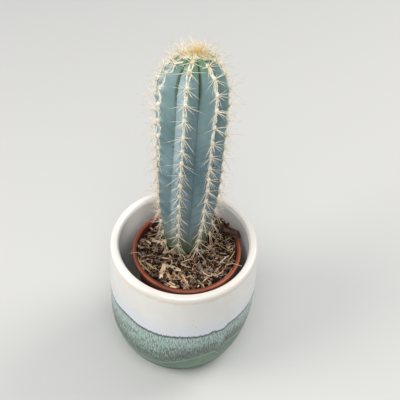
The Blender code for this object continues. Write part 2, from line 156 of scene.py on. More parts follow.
# Nursery pot
NURSERY_CENTRE = (2.1 * MM, 4.8 * MM)
NURSERY_BASE_RADIUS = 29.5 * MM
NURSERY_BASE = COVER_FLOOR + TOUCH
NURSERY_WALL = 0.9 * MM
NURSERY_FLOOR = 1.4 * MM
RIM_WIDTH = 2.2 * MM
RIM_DROP = 5.0 * MM
OUTER_ROUNDING = 0.8 * MM
RIM_ROUNDING = 0.7 * MM
DRAIN_HOLES = 6
DRAIN_HOLE_RADIUS = 3.0 * MM
DRAIN_HOLE_CIRCLE = 19.0 * MM
DRAIN_HOLE_SIDES = 28
SHARP_EDGE = math.radians(50)
NURSERY_SEGMENTS = 160

# Potting mix. The rings of the stem's pit are radii, each with its share of the buried depth, and the arc of
# the spill is in degrees
SOIL_TOP = 96.4 * MM
SOIL_MOUND = 3.4 * MM
MOUND_RADIUS = 25.0 * MM
HEAP_CENTRE = (24.0 * MM, 27.0 * MM)
HEAP_HEIGHT = 6.5 * MM
HEAP_RADIUS = 10.0 * MM
DIP_CENTRE = (-28.0 * MM, 22.0 * MM)
DIP_DEPTH = 4.0 * MM
DIP_RADIUS = 12.0 * MM
BANK_HEIGHT = 1.8 * MM
BANK_RADII = (30 * MM, 38 * MM)
STEM_HOLE_RADIUS = 15.0 * MM
STEM_PIT = ((12.6 * MM, 0.0), (10.2 * MM, 0.5), (6.0 * MM, 0.94))
CLEAR_OF_STEM = 14.2 * MM
SOIL_SEGMENTS = 220
SOIL_TOP_RINGS = 44
FLAKE_RINGS = 6
FLAKE_SIDES = 6
SPLINTERS = 4
SPILL_ARC = (33, 66)
SPILL_RADII = (37.0 * MM, 40.6 * MM)

# Stem. Angles and twists are in degrees, one for each rib, from the front of the plant. The side points are
# heights and crest radii in millimetres, and the buried rings are radii with their share of the buried depth.
# The crest's marks are its swelling and its nick at each areole: height, place above the areole and width
RIB_ANGLES_AT_FOOT = (-16.5, 32.0, 80.0, 124.0, 168.0, 210.0, 252.0, 291.0)
RIB_ANGLES_AT_TOP = (-7.0, 42.0, 82.0, 127.0, 173.0, 221.0, 270.0, 303.0)
RIBS = len(RIB_ANGLES_AT_FOOT)
STEM_FOOT = (0.4 * MM, 13.2 * MM)
STEM_ORIGIN = 94.0 * MM
STEM_HEIGHT = 180.0 * MM
STEM_BURIED = 22.0 * MM
STEM_LEAN = 0.9 * MM
DOME_HEIGHT = 33.0 * MM
DOME_POWER = 1.9
CROWN_SHIFT = (0.2 * MM, -0.7 * MM, -0.9 * MM)
CROWN_TWIST = (-3.5, 9.0, 13.0, 6.0, 0.0, -4.0, -9.0, -16.0)
BEND_START = 140.0 * MM
SIDE_POINTS = ((0, 12.6), (5, 14.4), (14, 16.5), (30, 18.7), (50, 21.0), (80, 22.6), (110, 23.0), (145, 23.5))
RIB_DEPTH_LOW = 0.10
RIB_DEPTH_HIGH = 0.30
CREST_ROUNDING = 0.16
CREST_MARKS = ((0.60 * MM, -1.6 * MM, 2.2 * MM), (-0.45 * MM, 2.4 * MM, 1.2 * MM))
CREASE_FALL = 9 * MM
CREASE_POWER = 1.3
CREASE_WIDTH = 0.8 * MM
CREASE_DEPTH = 0.12 * MM
GROOVE_DEPTH = 0.45 * MM
GROOVE_FADE = (70 * MM, 130 * MM)
UNEVENNESS = 0.16 * MM
RIB_COLUMNS = 26
STEM_ROWS = 330
CREST_SAMPLES = 900
BURIED_RINGS = ((5.5 * MM, 0.9), (8.2 * MM, 0.7), (10.0 * MM, 0.5), (11.6 * MM, 0.25))
# The side that the key light comes from: flanks that face it are painted lighter, as painted light
LIT_FLANK_WAY = (-0.93, -0.25, 0.25)

# Areoles. A growth spell is a place along the crest, how far it reaches and by what share it widens the
# spacing. The shifts lower a rib's areoles, and the spreads widen the gap between its cords of wool
AREOLE_SPACING = 10.6 * MM
FIRST_STATION = 14.5 * MM
GROWTH_SPELLS = ((30.0 * MM, 13.0 * MM, 0.28), (136.0 * MM, 15.0 * MM, 0.30))
CROWDING = 0.28
CROWDING_LEAST = 1.8 * MM
RIB_SHIFTS = (0.4 * MM, 2.2 * MM, 0.6 * MM, 0.0, 0.0, 0.0, 0.0, 4.3 * MM)
APEX_CLEAR = 5.4 * MM
CROWN_RADIUS = 7.0 * MM
CROWN_DROP = 1.45 * MM
CROWN_CUSHION = (9.4 * MM, 4.0 * MM)
CROWN_PLACE = (0.3 * MM, -0.3 * MM)
CORD_SPREADS = (0.5, 0.55, 0.9, 0.9, 0.8, 1.0, 0.9, 1.5)
BARE_TIPPED_RIBS = (1,)
PAD_LENGTHS = (1.8 * MM, 2.5 * MM)
PAD_WIDTHS = (1.25 * MM, 1.6 * MM)
PAD_THICKNESSES = (1.0 * MM, 1.35 * MM)
PAD_BULGE = (1.05, 1.1, 1.05, 1.0, 0.9, 0.75, 0.65)
PAD_END = 80
PAD_SIDES = 12
CORD_STEPS = 300
CORD_SIDES = 6
CUSHION_RINGS = 12
CUSHION_COLUMNS = 56

# Spines. The directions of an areole's radial spines are degrees from straight up the crest, on top and at
# the foot, and each has its share of the full length. The pairs are the ends of what is drawn at random, and
# spines begin to hang at one share of the stem's height and hang fully at the other
RADIALS_AT_TOP = (98, 260, 122, 236, 78, 286, 148, 210, 46, 318)
RADIALS_AT_FOOT = (124, 236, 146, 214, 100, 258, 166, 194, 76, 286)
RADIAL_SHARES = (1.0, 1.0, 0.95, 0.95, 0.75, 0.75, 0.65, 0.65, 0.4, 0.4)
RADIAL_TURNS = (-15, 15)
RADIAL_LIFT = 25
RADIAL_LIFTS = (-18, 22)
RADIAL_LENGTHS = (0.65, 1.15)
RADIAL_RADII = (0.13 * MM, 0.19 * MM)
CENTRALS = 2
CENTRAL_LIFT = 14
CENTRAL_DROOP = 50
CENTRAL_LIFTS = (-22, 22)
CENTRAL_SIDES = (-0.7, 0.7)
CENTRAL_LENGTHS = (0.7, 1.1)
CENTRAL_RADII = (0.14 * MM, 0.20 * MM)
HANGING_FROM = 0.90
HANGING_AT = 0.45
SPINE_CLEARANCE = 2.0 * MM
TURN_UP_ROUNDS = 40

# Bristles of the crown, of three kinds: reach over the crown, lean in the middle and what it gains to the
# edge in degrees, length in millimetres, and how golden they are. The tuft shift moves the first two kinds
BRISTLES = (
    (0.20, 2, 14, 9.5, 1.0),
    (0.62, 6, 24, 7.6, 0.6),
    (1.05, 18, 50, 8.0, 0.1),
)
TUFT_SHIFT = (1.4 * MM, -0.5 * MM, 0)

# Rings of a needle and of a hair: the share of the length and the part of the root's radius at each
NEEDLE = ((0.0, 1.25), (0.06, 1.0), (0.3, 0.88), (0.6, 0.66), (0.85, 0.36), (1.0, 0.10))
NEEDLE_SIDES = 5
HAIR = ((0.0, 1.0), (0.5, 0.8), (1.0, 0.35))
HAIR_SIDES = 3


def colour(code):
    """Linear colour of an sRGB code such as 6E8F93. A colour that is linear already stays as it is."""
    if not isinstance(code, str):
        return code
    shares = np.array([int(code[k:k + 2], 16) for k in (0, 2, 4)]) / 255
    linear = np.where(shares <= 0.04045, shares / 12.92, ((shares + 0.055) / 1.055) ** 2.4)
    return tuple(float(share) for share in linear)


def rise(value, low, high):
    """0 where a value is at low, 1 where it is at high, and between them, at the share t of the way, 3t
    squared less 2t cubed."""
    t = np.clip((value - low) / (high - low), 0, 1)
    return t * t * (3 - 2 * t)


def bell(value, width, power=2):
    """e to the minus of a power of the value in widths: 1 at 0, and close to 0 from two widths on."""
    return np.exp(-((value / width) ** power))


def unit(vectors):
    """The vectors at length 1."""
    return vectors / np.maximum(np.linalg.norm(vectors, axis=-1, keepdims=True), 1e-12)


def blend(first, second, share):
    """The first at share 0, the second at 1, and on the straight line between them."""
    return first + (second - first) * share


class Value:
    """A socket of a material. A sum, product or comparison of it adds a Math node."""

    def __init__(self, finish, socket):
        self.finish = finish
        self.socket = socket

    def math(self, operation, *others):
        return self.finish.math(operation, self, *others)

    def __add__(self, other):
        return self.math("ADD", other)

    def __sub__(self, other):
        return self.math("SUBTRACT", other)

    def __rsub__(self, other):
        return self.finish.math("SUBTRACT", other, self)

    def __mul__(self, other):
        return self.math("MULTIPLY", other)

    def __abs__(self):
        return self.math("ABSOLUTE")

    __radd__ = __add__
    __rmul__ = __mul__

    def rise(self, low, high):
        """0 where this is at low, 1 where it is at high, and a smooth ramp between them."""
        return self.finish.node(
            "ShaderNodeMapRange",
            {"interpolation_type": "SMOOTHSTEP"},
            {"Value": self, "From Min": low, "From Max": high},
        )

    def near(self, place, reach):
        """1 where this is at place, falling smoothly to 0 at that reach from it."""
        return abs(self - place).rise(reach, 0.0)

    def stepped(self, start, steps):
        """A start and the sum of steps, each a rise or a near of this in millimetres times its height."""
        for kind, first, second, height in steps:
            start = start + getattr(self, kind)(first * MM, second * MM) * (height * MM)
        return start


class Finish:
    """A material whose nodes are written as Python expressions."""

    def __init__(self, name, **constants):
        self.material = bpy.data.materials.new(name)
        self.material.use_nodes = True
        self.shader = self.material.node_tree.nodes["Principled BSDF"]
        self.wear(**constants)
        self.place = self.node("ShaderNodeTexCoord", {}, {}, "Object")

    def node(self, kind, settings, sockets, output=0):
        """Adds a node: first its settings or its ramp's stops, then the values or links of its sockets."""
        made = self.material.node_tree.nodes.new(kind)
        for name, setting in settings.items():
            if name == "stops":
                self.set_stops(made.color_ramp, setting)
            else:
                setattr(made, name, setting)
        for socket, value in sockets.items():
            self.feed(made.inputs[socket], value)
        return Value(self, made.outputs[output])

    @staticmethod
    def set_stops(ramp, stops):
        """Two elements are there from the start, and the others are added."""
        for index, (position, tone) in enumerate(stops):
            element = ramp.elements[index] if index < 2 else ramp.elements.new(position)
            element.position = position
            element.color = (*colour(tone), 1)

    def feed(self, socket, value):
        """Links a value to a socket, or sets the socket to a colour or a number."""
        if isinstance(value, Value):
            self.material.node_tree.links.new(value.socket, socket)
        elif socket.type == "RGBA":
            socket.default_value = (*colour(value), 1)
        else:
            socket.default_value = value

    def math(self, operation, *values):
        """A Math node of this operation on the values."""
        return self.node("ShaderNodeMath", {"operation": operation}, dict(enumerate(values)))

    def mix(self, share, first, second, kind="MIX"):
        """The first tone at share 0 and the second at share 1, blended in the way of the kind."""
        settings = {"data_type": "RGBA", "blend_type": kind}
        return self.node("ShaderNodeMix", settings, {0: share, 6: first, 7: second}, 2)

    def layered(self, tone, *layers):
        """A tone with others laid over it in turn, each as strongly as its mask says."""
        for mask, over in layers:
            tone = self.mix(mask, tone, over)
        return tone

    def ramp(self, value, stops):
        """The tone of the stops at a value from 0 to 1."""
        return self.node("ShaderNodeValToRGB", {"stops": stops}, {"Fac": value})

    def attribute(self, name):
        """The number that the mesh holds under this name at each point."""
        return self.node("ShaderNodeAttribute", {"attribute_name": name}, {}, "Fac")

    def axes(self):
        """The x, y and z of a point in object space."""
        parts = self.node("ShaderNodeSeparateXYZ", {}, {0: self.place})
        outputs = parts.socket.node.outputs
        return [Value(self, outputs[k]) for k in range(3)]

    def unrolled(self, radius):
        """Object space unrolled from a cylinder of this radius: the way round it, 0 and the height."""
        x, y, z = self.axes()
        way = self.math("ARCTAN2", x, y * -1.0) * radius
        return self.node("ShaderNodeCombineXYZ", {}, {0: way, 1: 0.0, 2: z})

    def stretched(self, across, along, place=None):
        """Object space in steps of these sizes, across and up, so that noise in it has that grain."""
        scale = (1 / across, 1 / across, 1 / along)
        sockets = {0: place or self.place, 1: scale}
        return self.node("ShaderNodeVectorMath", {"operation": "MULTIPLY"}, sockets)

    def noise(self, across, along=None, detail=2.0, rough=0.5, place=None):
        """Noise whose grain has these sizes in metres, mostly from 0.3 to 0.7."""
        vector = self.stretched(across, along or across, place)
        sockets = {"Vector": vector, "Scale": 1.0, "Detail": detail, "Roughness": rough}
        return self.node("ShaderNodeTexNoise", {}, sockets)

    def specks(self, spacing, radius, along=None):
        """1 in round specks of this share of their spacing, and 0 between them."""
        vector = self.stretched(spacing, along or spacing)
        found = self.node("ShaderNodeTexVoronoi", {}, {"Vector": vector, "Scale": 1.0}, "Distance")
        return found.rise(radius * 1.35, radius * 0.65)

    def bump(self, height, depth, strength=1.0):
        """The normal of a relief whose height 1 stands for this depth in metres."""
        sockets = {"Height": height, "Distance": depth, "Strength": strength}
        return self.node("ShaderNodeBump", {}, sockets, "Normal")

    def wear(self, **sockets):
        """Sets or links sockets of the shader, whose names are written in small letters with underscores."""
        for name, value in sockets.items():
            title = name.replace("_", " ").title().replace("Ior", "IOR")
            self.feed(self.shader.inputs[title], value)
        return self.material


def facing_out(points, faces):
    """The faces, turned round if the volume that they enclose comes out negative."""
    volume = 0.0
    for part in faces:
        for k in range(1, part.shape[1] - 1):
            a, b, c = points[part[:, 0]], points[part[:, k]], points[part[:, k + 1]]
            volume += np.einsum("ij,ij->", a, np.cross(b, c))
    return [part[:, ::-1] if volume < 0 else part for part in faces]


def mesh_of(name, points, faces, values=None, smooth_shaded=True):
    """A mesh with a number at each point for every named array of values."""
    mesh = bpy.data.meshes.new(name)
    listed = [face for part in facing_out(points, faces) for face in part.tolist()]
    mesh.from_pydata(points.tolist(), [], listed)
    for key, numbers in (values or {}).items():
        layer = mesh.attributes.new(key, "FLOAT", "POINT")
        layer.data.foreach_set("value", np.asarray(numbers, np.float32).ravel())
    if smooth_shaded:
        mesh.shade_smooth()
    else:
        mesh.shade_flat()
    return mesh


def place_piece(mesh, finish, node):
    """Puts a finished mesh in the scene in place of a CAD node, with its material."""
    mesh.materials.append(finish)
    piece = bpy.data.objects.new(mesh.name, mesh)
    bpy.context.scene.collection.objects.link(piece)
    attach(piece, "root")
    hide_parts(node)
    return piece


def skin(rings, first_pole, last_pole):
    """Points and faces of a closed skin over rings (rows, columns, 3): quads between the rows and fans to the
    poles."""
    rows, columns = rings.shape[:2]
    points = np.concatenate([rings.reshape(-1, 3), [first_pole, last_pole]])
    column = np.arange(columns)
    following = (column + 1) % columns
    low = np.arange(rows - 1)[:, None] * columns
    quads = np.stack([low + column, low + following, low + columns + following, low + columns + column], -1)
    last = (rows - 1) * columns
    first_fan = np.stack([following, column, np.full(columns, rows * columns)], -1)
    last_fan = np.stack([last + column, last + following, np.full(columns, rows * columns + 1)], -1)
    return points, [quads.reshape(-1, 4), first_fan, last_fan]


def revolved(outline, segments, centre=(0, 0)):
    """An outline (radius, height) whose ends are on the axis, carried round it: x is the radius times the
    sine of the turn, and y is minus the radius times its cosine."""
    turn = np.arange(segments) * TAU / segments
    radius, height = outline[1:-1, 0][:, None], outline[1:-1, 1][:, None]
    rings = np.stack([
        centre[0] + radius * np.sin(turn),
        centre[1] - radius * np.cos(turn),
        np.broadcast_to(height, (len(radius), segments)),
    ], -1)
    poles = [(*centre, outline[0, 1]), (*centre, outline[-1, 1])]
    return rings, poles


def arc(centre, radius, start, end, steps):
    """Points of a quarter or other arc in the (radius, height) plane, from start to end in degrees."""
    turn = np.radians(np.linspace(start, end, steps))
    return np.stack([centre[0] + radius * np.cos(turn), centre[1] + radius * np.sin(turn)], -1)


def line(start, end, steps):
    """Points from the start towards the end at even steps, without the end."""
    return blend(np.array(start), np.array(end), np.linspace(0, 1, steps + 1)[:-1, None])


def tubes(paths, widths, thicks, sides, caps, across=None):
    """Closed tubes along paths (tube, step, 3). A ring's point is its path point plus width times cos(turn)
    sideways and thick times sin(turn) upwards, and a pole stands off each end by the tube's cap length.
    Returns the points, the faces, and for every point how far along its tube it is and the tube's number."""
    count, steps, _ = paths.shape
    along = unit(np.gradient(paths, axis=1))
    if across is None:
        middle = np.abs(along.mean(axis=1, keepdims=True)[..., 2:])
        helper = np.where(middle < 0.8, [[[0.0, 0.0, 1.0]]], [[[1.0, 0.0, 0.0]]])
        across = np.cross(along, helper)
    across = unit(across)
    raised = np.cross(across, along)
    turn = TAU * (np.arange(sides) + 0.5) / sides
    rings = (
        paths[:, :, None]
        + (widths[..., None] * np.cos(turn))[..., None] * across[:, :, None]
        + (thicks[..., None] * np.sin(turn))[..., None] * raised[:, :, None]
    ).reshape(count, steps * sides, 3)
    reach = np.broadcast_to(caps, (count, 2))
    start = paths[:, 0] - along[:, 0] * reach[:, :1]
    end = paths[:, -1] + along[:, -1] * reach[:, 1:]
    points = np.concatenate([rings, start[:, None], end[:, None]], axis=1)
    side = np.arange(sides)
    following = (side + 1) % sides
    low = np.arange(steps - 1)[:, None] * sides
    quads = np.stack([low + side, low + following, low + sides + following, low + sides + side], -1)
    last = (steps - 1) * sides
    start_fan = np.stack([following, side, np.full(sides, steps * sides)], -1)
    end_fan = np.stack([last + side, last + following, np.full(sides, steps * sides + 1)], -1)
    shift = np.arange(count)[:, None, None] * (steps * sides + 2)
    faces = [
        (part.reshape(1, -1, part.shape[-1]) + shift).reshape(-1, part.shape[-1])
        for part in (quads, start_fan, end_fan)
    ]
    share = np.concatenate([np.repeat(np.linspace(0, 1, steps), sides), [0, 1]])
    number = np.repeat(np.arange(count), steps * sides + 2)
    return points.reshape(-1, 3), faces, np.tile(share, count), number


def cover_outline(settings):
    """Foot ring, belly (foot radius plus a sine, height less a cosine), shoulder, lip rounded with a quarter
    circle outside and a tighter quarter ellipse inside, inner wall and floor."""
    foot_inner = COVER_FOOT_RADIUS - FOOT_RING_WIDTH
    belly = settings.radius - COVER_FOOT_RADIUS
    turn = np.linspace(0.03, 1, 44) * math.pi / 2
    belly_points = np.stack([
        COVER_FOOT_RADIUS + belly * np.sin(turn),
        COVER_BELLY_HEIGHT * (1 - np.cos(turn)),
    ], -1)
    shoulder = settings.height - LIP_ROUNDING
    climb = np.linspace(0, 1, 18)[1:-1]
    side = np.stack([
        settings.radius - (settings.radius - COVER_TOP_RADIUS) * climb**2,
        blend(COVER_BELLY_HEIGHT, shoulder, climb),
    ], -1)
    inside = COVER_TOP_RADIUS - COVER_WALL
    fall = np.linspace(0.04, 1, 16) * math.pi / 2
    inner_lip = np.stack([
        inside + INNER_ROUNDING[0] * (1 - np.sin(fall)),
        settings.height - INNER_ROUNDING[1] * (1 - np.cos(fall)),
    ], -1)
    under_lip = (inside, settings.height - 5 * MM)
    mid_wall = (inside, settings.height * 0.4)
    low_wall = (inside - 2.5 * MM, COVER_FLOOR + 13 * MM)
    floor_radius = NURSERY_BASE_RADIUS + math.hypot(*NURSERY_CENTRE) + 2 * MM
    recess_edge = (foot_inner - FOOT_RECESS, FOOT_RECESS)
    return np.concatenate([
        [(0, FOOT_RECESS)],
        line((POLE_GAP, FOOT_RECESS), recess_edge, 5),
        line(recess_edge, (foot_inner, FOOT_ROUNDING), 3),
        arc((foot_inner + FOOT_ROUNDING, FOOT_ROUNDING), FOOT_ROUNDING, 180, 270, 5),
        [(COVER_FOOT_RADIUS - 0.2 * MM, 0)],
        belly_points,
        side,
        arc((COVER_TOP_RADIUS - LIP_ROUNDING, shoulder), LIP_ROUNDING, 0, 90, 12),
        inner_lip,
        line(under_lip, mid_wall, 16),
        line(mid_wall, low_wall, 8),
        line(low_wall, (floor_radius, COVER_FLOOR), 8),
        line((floor_radius, COVER_FLOOR), (0, COVER_FLOOR), 8),
        [(0, COVER_FLOOR)],
    ])


def cover_skin(settings):
    """The outline carried round the axis. Its wall is moved outwards by two and three low lobes above, and
    near the foot by the bulge times the squared cosine of the angle to its side. Returns the points, the
    faces, and a 1 for every point of the white inside."""
    outline = cover_outline(settings)
    rings, poles = revolved(outline, COVER_SEGMENTS)
    radius, height = outline[1:-1].T
    lip = np.argmax(height)
    row = np.arange(len(rings))
    turn = np.arange(COVER_SEGMENTS) * TAU / COVER_SEGMENTS
    lobes = sum(reach * np.sin(number * turn + phase) for number, phase, reach in LOBES)
    lobes = lobes * rise(rings[..., 2], *LOBE_FADE)
    flat = rings * (1 - UP)
    facing = np.clip(flat @ np.array(BULGE_WAY) / settings.radius, 0, None)
    bulge = FOOT_BULGE * facing**2 * rise(rings[..., 2], *BULGE_FADE) * (row <= lip)[:, None]
    rings = rings + unit(flat) * (lobes + bulge)[..., None]
    points, faces = skin(rings, *poles)
    inner = (row > lip) & (radius < INNER_GLAZE_RADIUS)
    return points, faces, np.concatenate([np.repeat(inner, COVER_SEGMENTS), [0, 1]])


def white_glaze(finish, settings, line_height):
    """The upper glaze: clouded, cooler where it thins by the line, creamy on the lip, which is painted
    lighter at its left end as painted light and shows the body in places along its edge, and with a few
    specks."""
    x, y, z = finish.axes()
    away = finish.math("SQRT", x * x + y * y)
    # The lip is painted lighter at its left end, as painted light
    lip = finish.mix(x.rise(-0.046, -0.020), "F2EEE6", "DAD4CB")
    edge = z.near(0.1105, 0.0018) * away.rise(0.0516, 0.0526)
    return finish.layered(
        settings.white,
        (z.rise(line_height + 0.026, line_height), settings.white_by_line),
        (finish.noise(0.016, 0.02, 3.0).rise(0.35, 0.7) * 0.3, "CFCBC2"),
        (z.rise(0.1085, 0.1125) * 0.9, lip),
        (edge * finish.noise(0.011, 0.011, 2.0).rise(0.25, 0.55) * 0.5, "DDB893"),
        (finish.specks(0.0085, 0.035) * 0.8, "4E4A46"),
    )


def seafoam_glaze(finish, settings, line_height, sage_edge, dash):
    """The lower glaze: darker downwards, with broad pale runs, dark and pale dashes, then the smooth sage
    band with its pale edge, painted shade at the sides and a painted contact shadow at the foot."""
    x, _, z = finish.axes()
    wall = finish.unrolled(settings.radius)
    above_sage = z - sage_edge
    deep = z.rise(line_height - 0.002, sage_edge + 0.004)
    grain = finish.noise(0.0010, 0.0012, 2.0)
    run = finish.noise(0.0030, 0.030, 2.0, 0.5, wall)
    dark = (dash + (grain - 0.5) * 0.35 + deep * 0.07 - run * 0.06).rise(0.475, 0.545)
    pale = finish.noise(0.00085, 0.0046, 1.0, 0.5, wall).rise(0.56, 0.64)
    sage = finish.layered(
        settings.sage,
        (finish.noise(0.009, 0.012, 3.0).rise(0.3, 0.7), "4E765B"),
        (finish.noise(0.0009, 0.0009, 1.0).rise(0.55, 0.68) * 0.25, "8FB09C"),
    )
    # Painted shade at the left and right of the low band
    shaded = (x.rise(-0.008, -0.032) + x.rise(0.018, 0.036)) * z.rise(0.040, 0.022)
    return finish.layered(
        settings.seafoam_light,
        (deep, settings.seafoam),
        (run.rise(0.35, 0.65) * 0.4, settings.seafoam_light),
        (above_sage.rise(0.018, 0.001) * 0.80, "49534A"),
        (dark * (0.66 + deep * 0.24), settings.speckle),
        (pale * (0.6 - deep * 0.3), "BFD3CA"),
        (above_sage.rise(0.0012, -0.0008), sage),
        (above_sage.near(-0.0020, 0.0022) * 0.45, "96AF9E"),
        (shaded * 0.15, "384C3E"),
        # Painted contact shadow at the foot
        (z.rise(0.005, 0.001) * 0.4, "2E3B33"),
    )


def glaze_finish(settings):
    """White glaze over seafoam, with a dark line where they meet, an inside painted a brighter white as
    painted light, and a bare foot ring.
    """
    finish = Finish("glazed_stoneware", ior=1.5, coat_roughness=0.12, specular_ior_level=0.4)
    x, _, z = finish.axes()
    wall = finish.unrolled(settings.radius)
    slow = finish.noise(0.034, 1.0, 1.0) - 0.5
    quick = finish.noise(0.0009, 1.0, 1.0, 0.5, wall) - 0.5
    line_height = x.stepped(settings.line_height, LINE_STEPS) + slow * 0.0040 + quick * 0.0046
    sage_edge = x.stepped(SAGE_HEIGHT, SAGE_STEPS) + slow * 0.004 + quick * 0.002
    below = z.rise(line_height + 0.0003, line_height - 0.0003)
    dash = finish.noise(0.00075, 0.0052, 1.0, 0.5, wall)
    bare = z.rise(0.0005, 0.0002)
    tone = finish.layered(
        white_glaze(finish, settings, line_height),
        (below, seafoam_glaze(finish, settings, line_height, sage_edge, dash)),
        ((z - line_height).near(0.0, 0.0021), settings.line_colour),
        # The inside is painted a brighter white than the outer glaze, as painted light
        (finish.attribute("inner"), "FAF8F4"),
        (bare, "B9A58B"),
    )
    relief = dash * below * 0.5 + finish.noise(0.0022, 0.0022, 2.0) * 0.35 - below * 0.6
    return finish.wear(
        base_color=tone,
        roughness=0.22 + bare * 0.6 + below * 0.12 + z.rise(0.022, 0.010) * 0.6,
        coat_weight=0.45 - bare * 0.45 - below * 0.4,
        normal=finish.bump(relief, 0.00022, 0.7),
    )


def nursery_outline(settings):
    """Base, wall, turned-over rim with rounded edges, and the inside back down to the floor."""
    radius, top = settings.radius, settings.top
    rim_base = top - RIM_DROP
    rim_foot_rounding = 0.4 * MM
    wall_top = radius - RIM_WIDTH
    inner = wall_top - NURSERY_WALL
    base_edge = NURSERY_BASE_RADIUS - OUTER_ROUNDING
    wall_foot = (NURSERY_BASE_RADIUS + 0.1 * MM, NURSERY_BASE + 2 * MM)
    wall_end = (wall_top - 0.3 * MM, rim_base - 1 * MM)
    floor_edge = (NURSERY_BASE_RADIUS - NURSERY_WALL, NURSERY_BASE + NURSERY_FLOOR)
    return np.concatenate([
        [(0, NURSERY_BASE)],
        line((POLE_GAP, NURSERY_BASE), (base_edge, NURSERY_BASE), 8),
        arc((base_edge, NURSERY_BASE + OUTER_ROUNDING), OUTER_ROUNDING, -90, 0, 5),
        line(wall_foot, wall_end, 12),
        line(wall_end, (radius - 0.6 * MM, rim_base), 3),
        arc((radius - 0.7 * MM, rim_base + rim_foot_rounding), rim_foot_rounding, -90, 0, 4),
        line((radius - 0.2 * MM, rim_base + 1 * MM), (radius, top - OUTER_ROUNDING), 4),
        arc((radius - OUTER_ROUNDING, top - OUTER_ROUNDING), OUTER_ROUNDING, 0, 90, 7),
        arc((inner + RIM_ROUNDING, top - RIM_ROUNDING), RIM_ROUNDING, 90, 180, 7),
        line((inner, top - 2 * RIM_ROUNDING), floor_edge, 12),
        line(floor_edge, (0, floor_edge[1]), 8),
        [(0, floor_edge[1])],
    ])


def with_drain_holes(mesh, name):
    """A mesh of that name with the holes of the base cut by a Boolean, on a circle round the pot's centre."""
    turn = TAU * np.arange(DRAIN_HOLES) / DRAIN_HOLES
    middle = np.stack([
        NURSERY_CENTRE[0] + DRAIN_HOLE_CIRCLE * np.cos(turn),
        NURSERY_CENTRE[1] + DRAIN_HOLE_CIRCLE * np.sin(turn),
        np.full(DRAIN_HOLES, NURSERY_BASE),
    ], -1)
    reach = np.array([-3.0, 0.0, 4.0])[:, None] * MM * UP
    radius = np.full((DRAIN_HOLES, 3), DRAIN_HOLE_RADIUS)
    points, faces, _, _ = tubes(middle[:, None] + reach, radius, radius, DRAIN_HOLE_SIDES, (0.0, 0.0))
    drill = bpy.data.objects.new("drill", mesh_of("drill", points, faces))
    pot = bpy.data.objects.new("pot", mesh)
    for made in (pot, drill):
        bpy.context.scene.collection.objects.link(made)
    cut = pot.modifiers.new("drain_holes", "BOOLEAN")
    cut.operation = "DIFFERENCE"
    cut.object = drill
    graph = bpy.context.evaluated_depsgraph_get()
    drilled = bpy.data.meshes.new_from_object(pot.evaluated_get(graph))
    drilled.name = name
    for made in (pot, drill):
        bpy.data.objects.remove(made)
    drilled.set_sharp_from_angle(angle=SHARP_EDGE)
    return drilled


def plastic_finish(settings):
    """Terracotta-coloured plastic: faint moulding rings, a rubbed rim top and crumbs of soil on it, with
    painted shade inside the rim, on the pot's side below it and along the rim's front.
    """
    finish = Finish("terracotta_plastic", ior=1.46)
    x, y, z = finish.axes()
    east, north = x - NURSERY_CENTRE[0], y - NURSERY_CENTRE[1]
    away = finish.math("SQRT", east * east + north * north)
    cloud = finish.noise(0.012, 0.012, 3.0)
    rubbed = finish.noise(0.0012, 0.0012, 3.0, 0.6)
    worn = rubbed.rise(0.55, 0.7) * z.rise(0.0975, 0.0995) * away.rise(0.0392, 0.0402)
    dirt = finish.noise(0.0019, 0.0019, 4.0, 0.7).rise(0.60, 0.68)
    tone = finish.layered(
        settings.plastic,
        (cloud.rise(0.3, 0.7), settings.plastic_light),
        # Painted shade inside the rim's inner edge
        (away.rise(0.0402, 0.0392) * 0.75, "5A2416"),
        # Painted shade on the pot's side below the rim, in the gap under the cover pot's lip
        (z.rise(0.0988, 0.0976) * 0.75, "3E1810"),
        (worn * 0.55, "C97C58"),
        # Painted shade along the front of the rim, where the cover pot's lip shades it
        (y.rise(-0.024, -0.034) * 0.5, "4A2418"),
        (dirt * 0.75, "3A2117"),
    )
    rings = finish.math("SINE", z * 5200.0)
    return finish.wear(
        base_color=tone,
        roughness=0.40 + cloud * 0.15 + dirt * 0.3,
        normal=finish.bump(rings * 0.2 + rubbed, 0.00012, 0.6),
    )


def distance(x, y, centre):
    """Level distance from a centre."""
    return np.hypot(x - centre[0], y - centre[1])


def hill(x, y, centre, radius, power=2):
    """1 at a centre, and the bell of the distance away from it."""
    return bell(distance(x, y, centre), radius, power)


def ground(x, y):
    """Height of the soil: a mound at the plant, a heap at the back right, a dip at the back left, and a
    roughness of sines."""
    rough = np.sin(x * 610 + 1.3 * np.sin(y * 450)) * np.cos(y * 530 + 0.8)
    rough = rough + 0.6 * np.sin(x * 1130 - y * 970)
    return (
        SOIL_TOP
        + SOIL_MOUND * hill(x, y, STEM_FOOT, MOUND_RADIUS, 3)
        + HEAP_HEIGHT * hill(x, y, HEAP_CENTRE, HEAP_RADIUS)
        - DIP_DEPTH * hill(x, y, DIP_CENTRE, DIP_RADIUS)
        + 0.5 * MM * rough
    )


def soil_radius(height):
    """Inside of the nursery pot at a height, less a small gap."""
    base = NURSERY_BASE + NURSERY_FLOOR
    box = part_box("nursery_pot")
    top_radius = (box[1].x - box[0].x) / 2 - RIM_WIDTH - NURSERY_WALL
    low = NURSERY_BASE_RADIUS - NURSERY_WALL
    share = (height - base) / (box[1].z - RIM_ROUNDING - base)
    return blend(low, top_radius, share) - 0.4 * MM


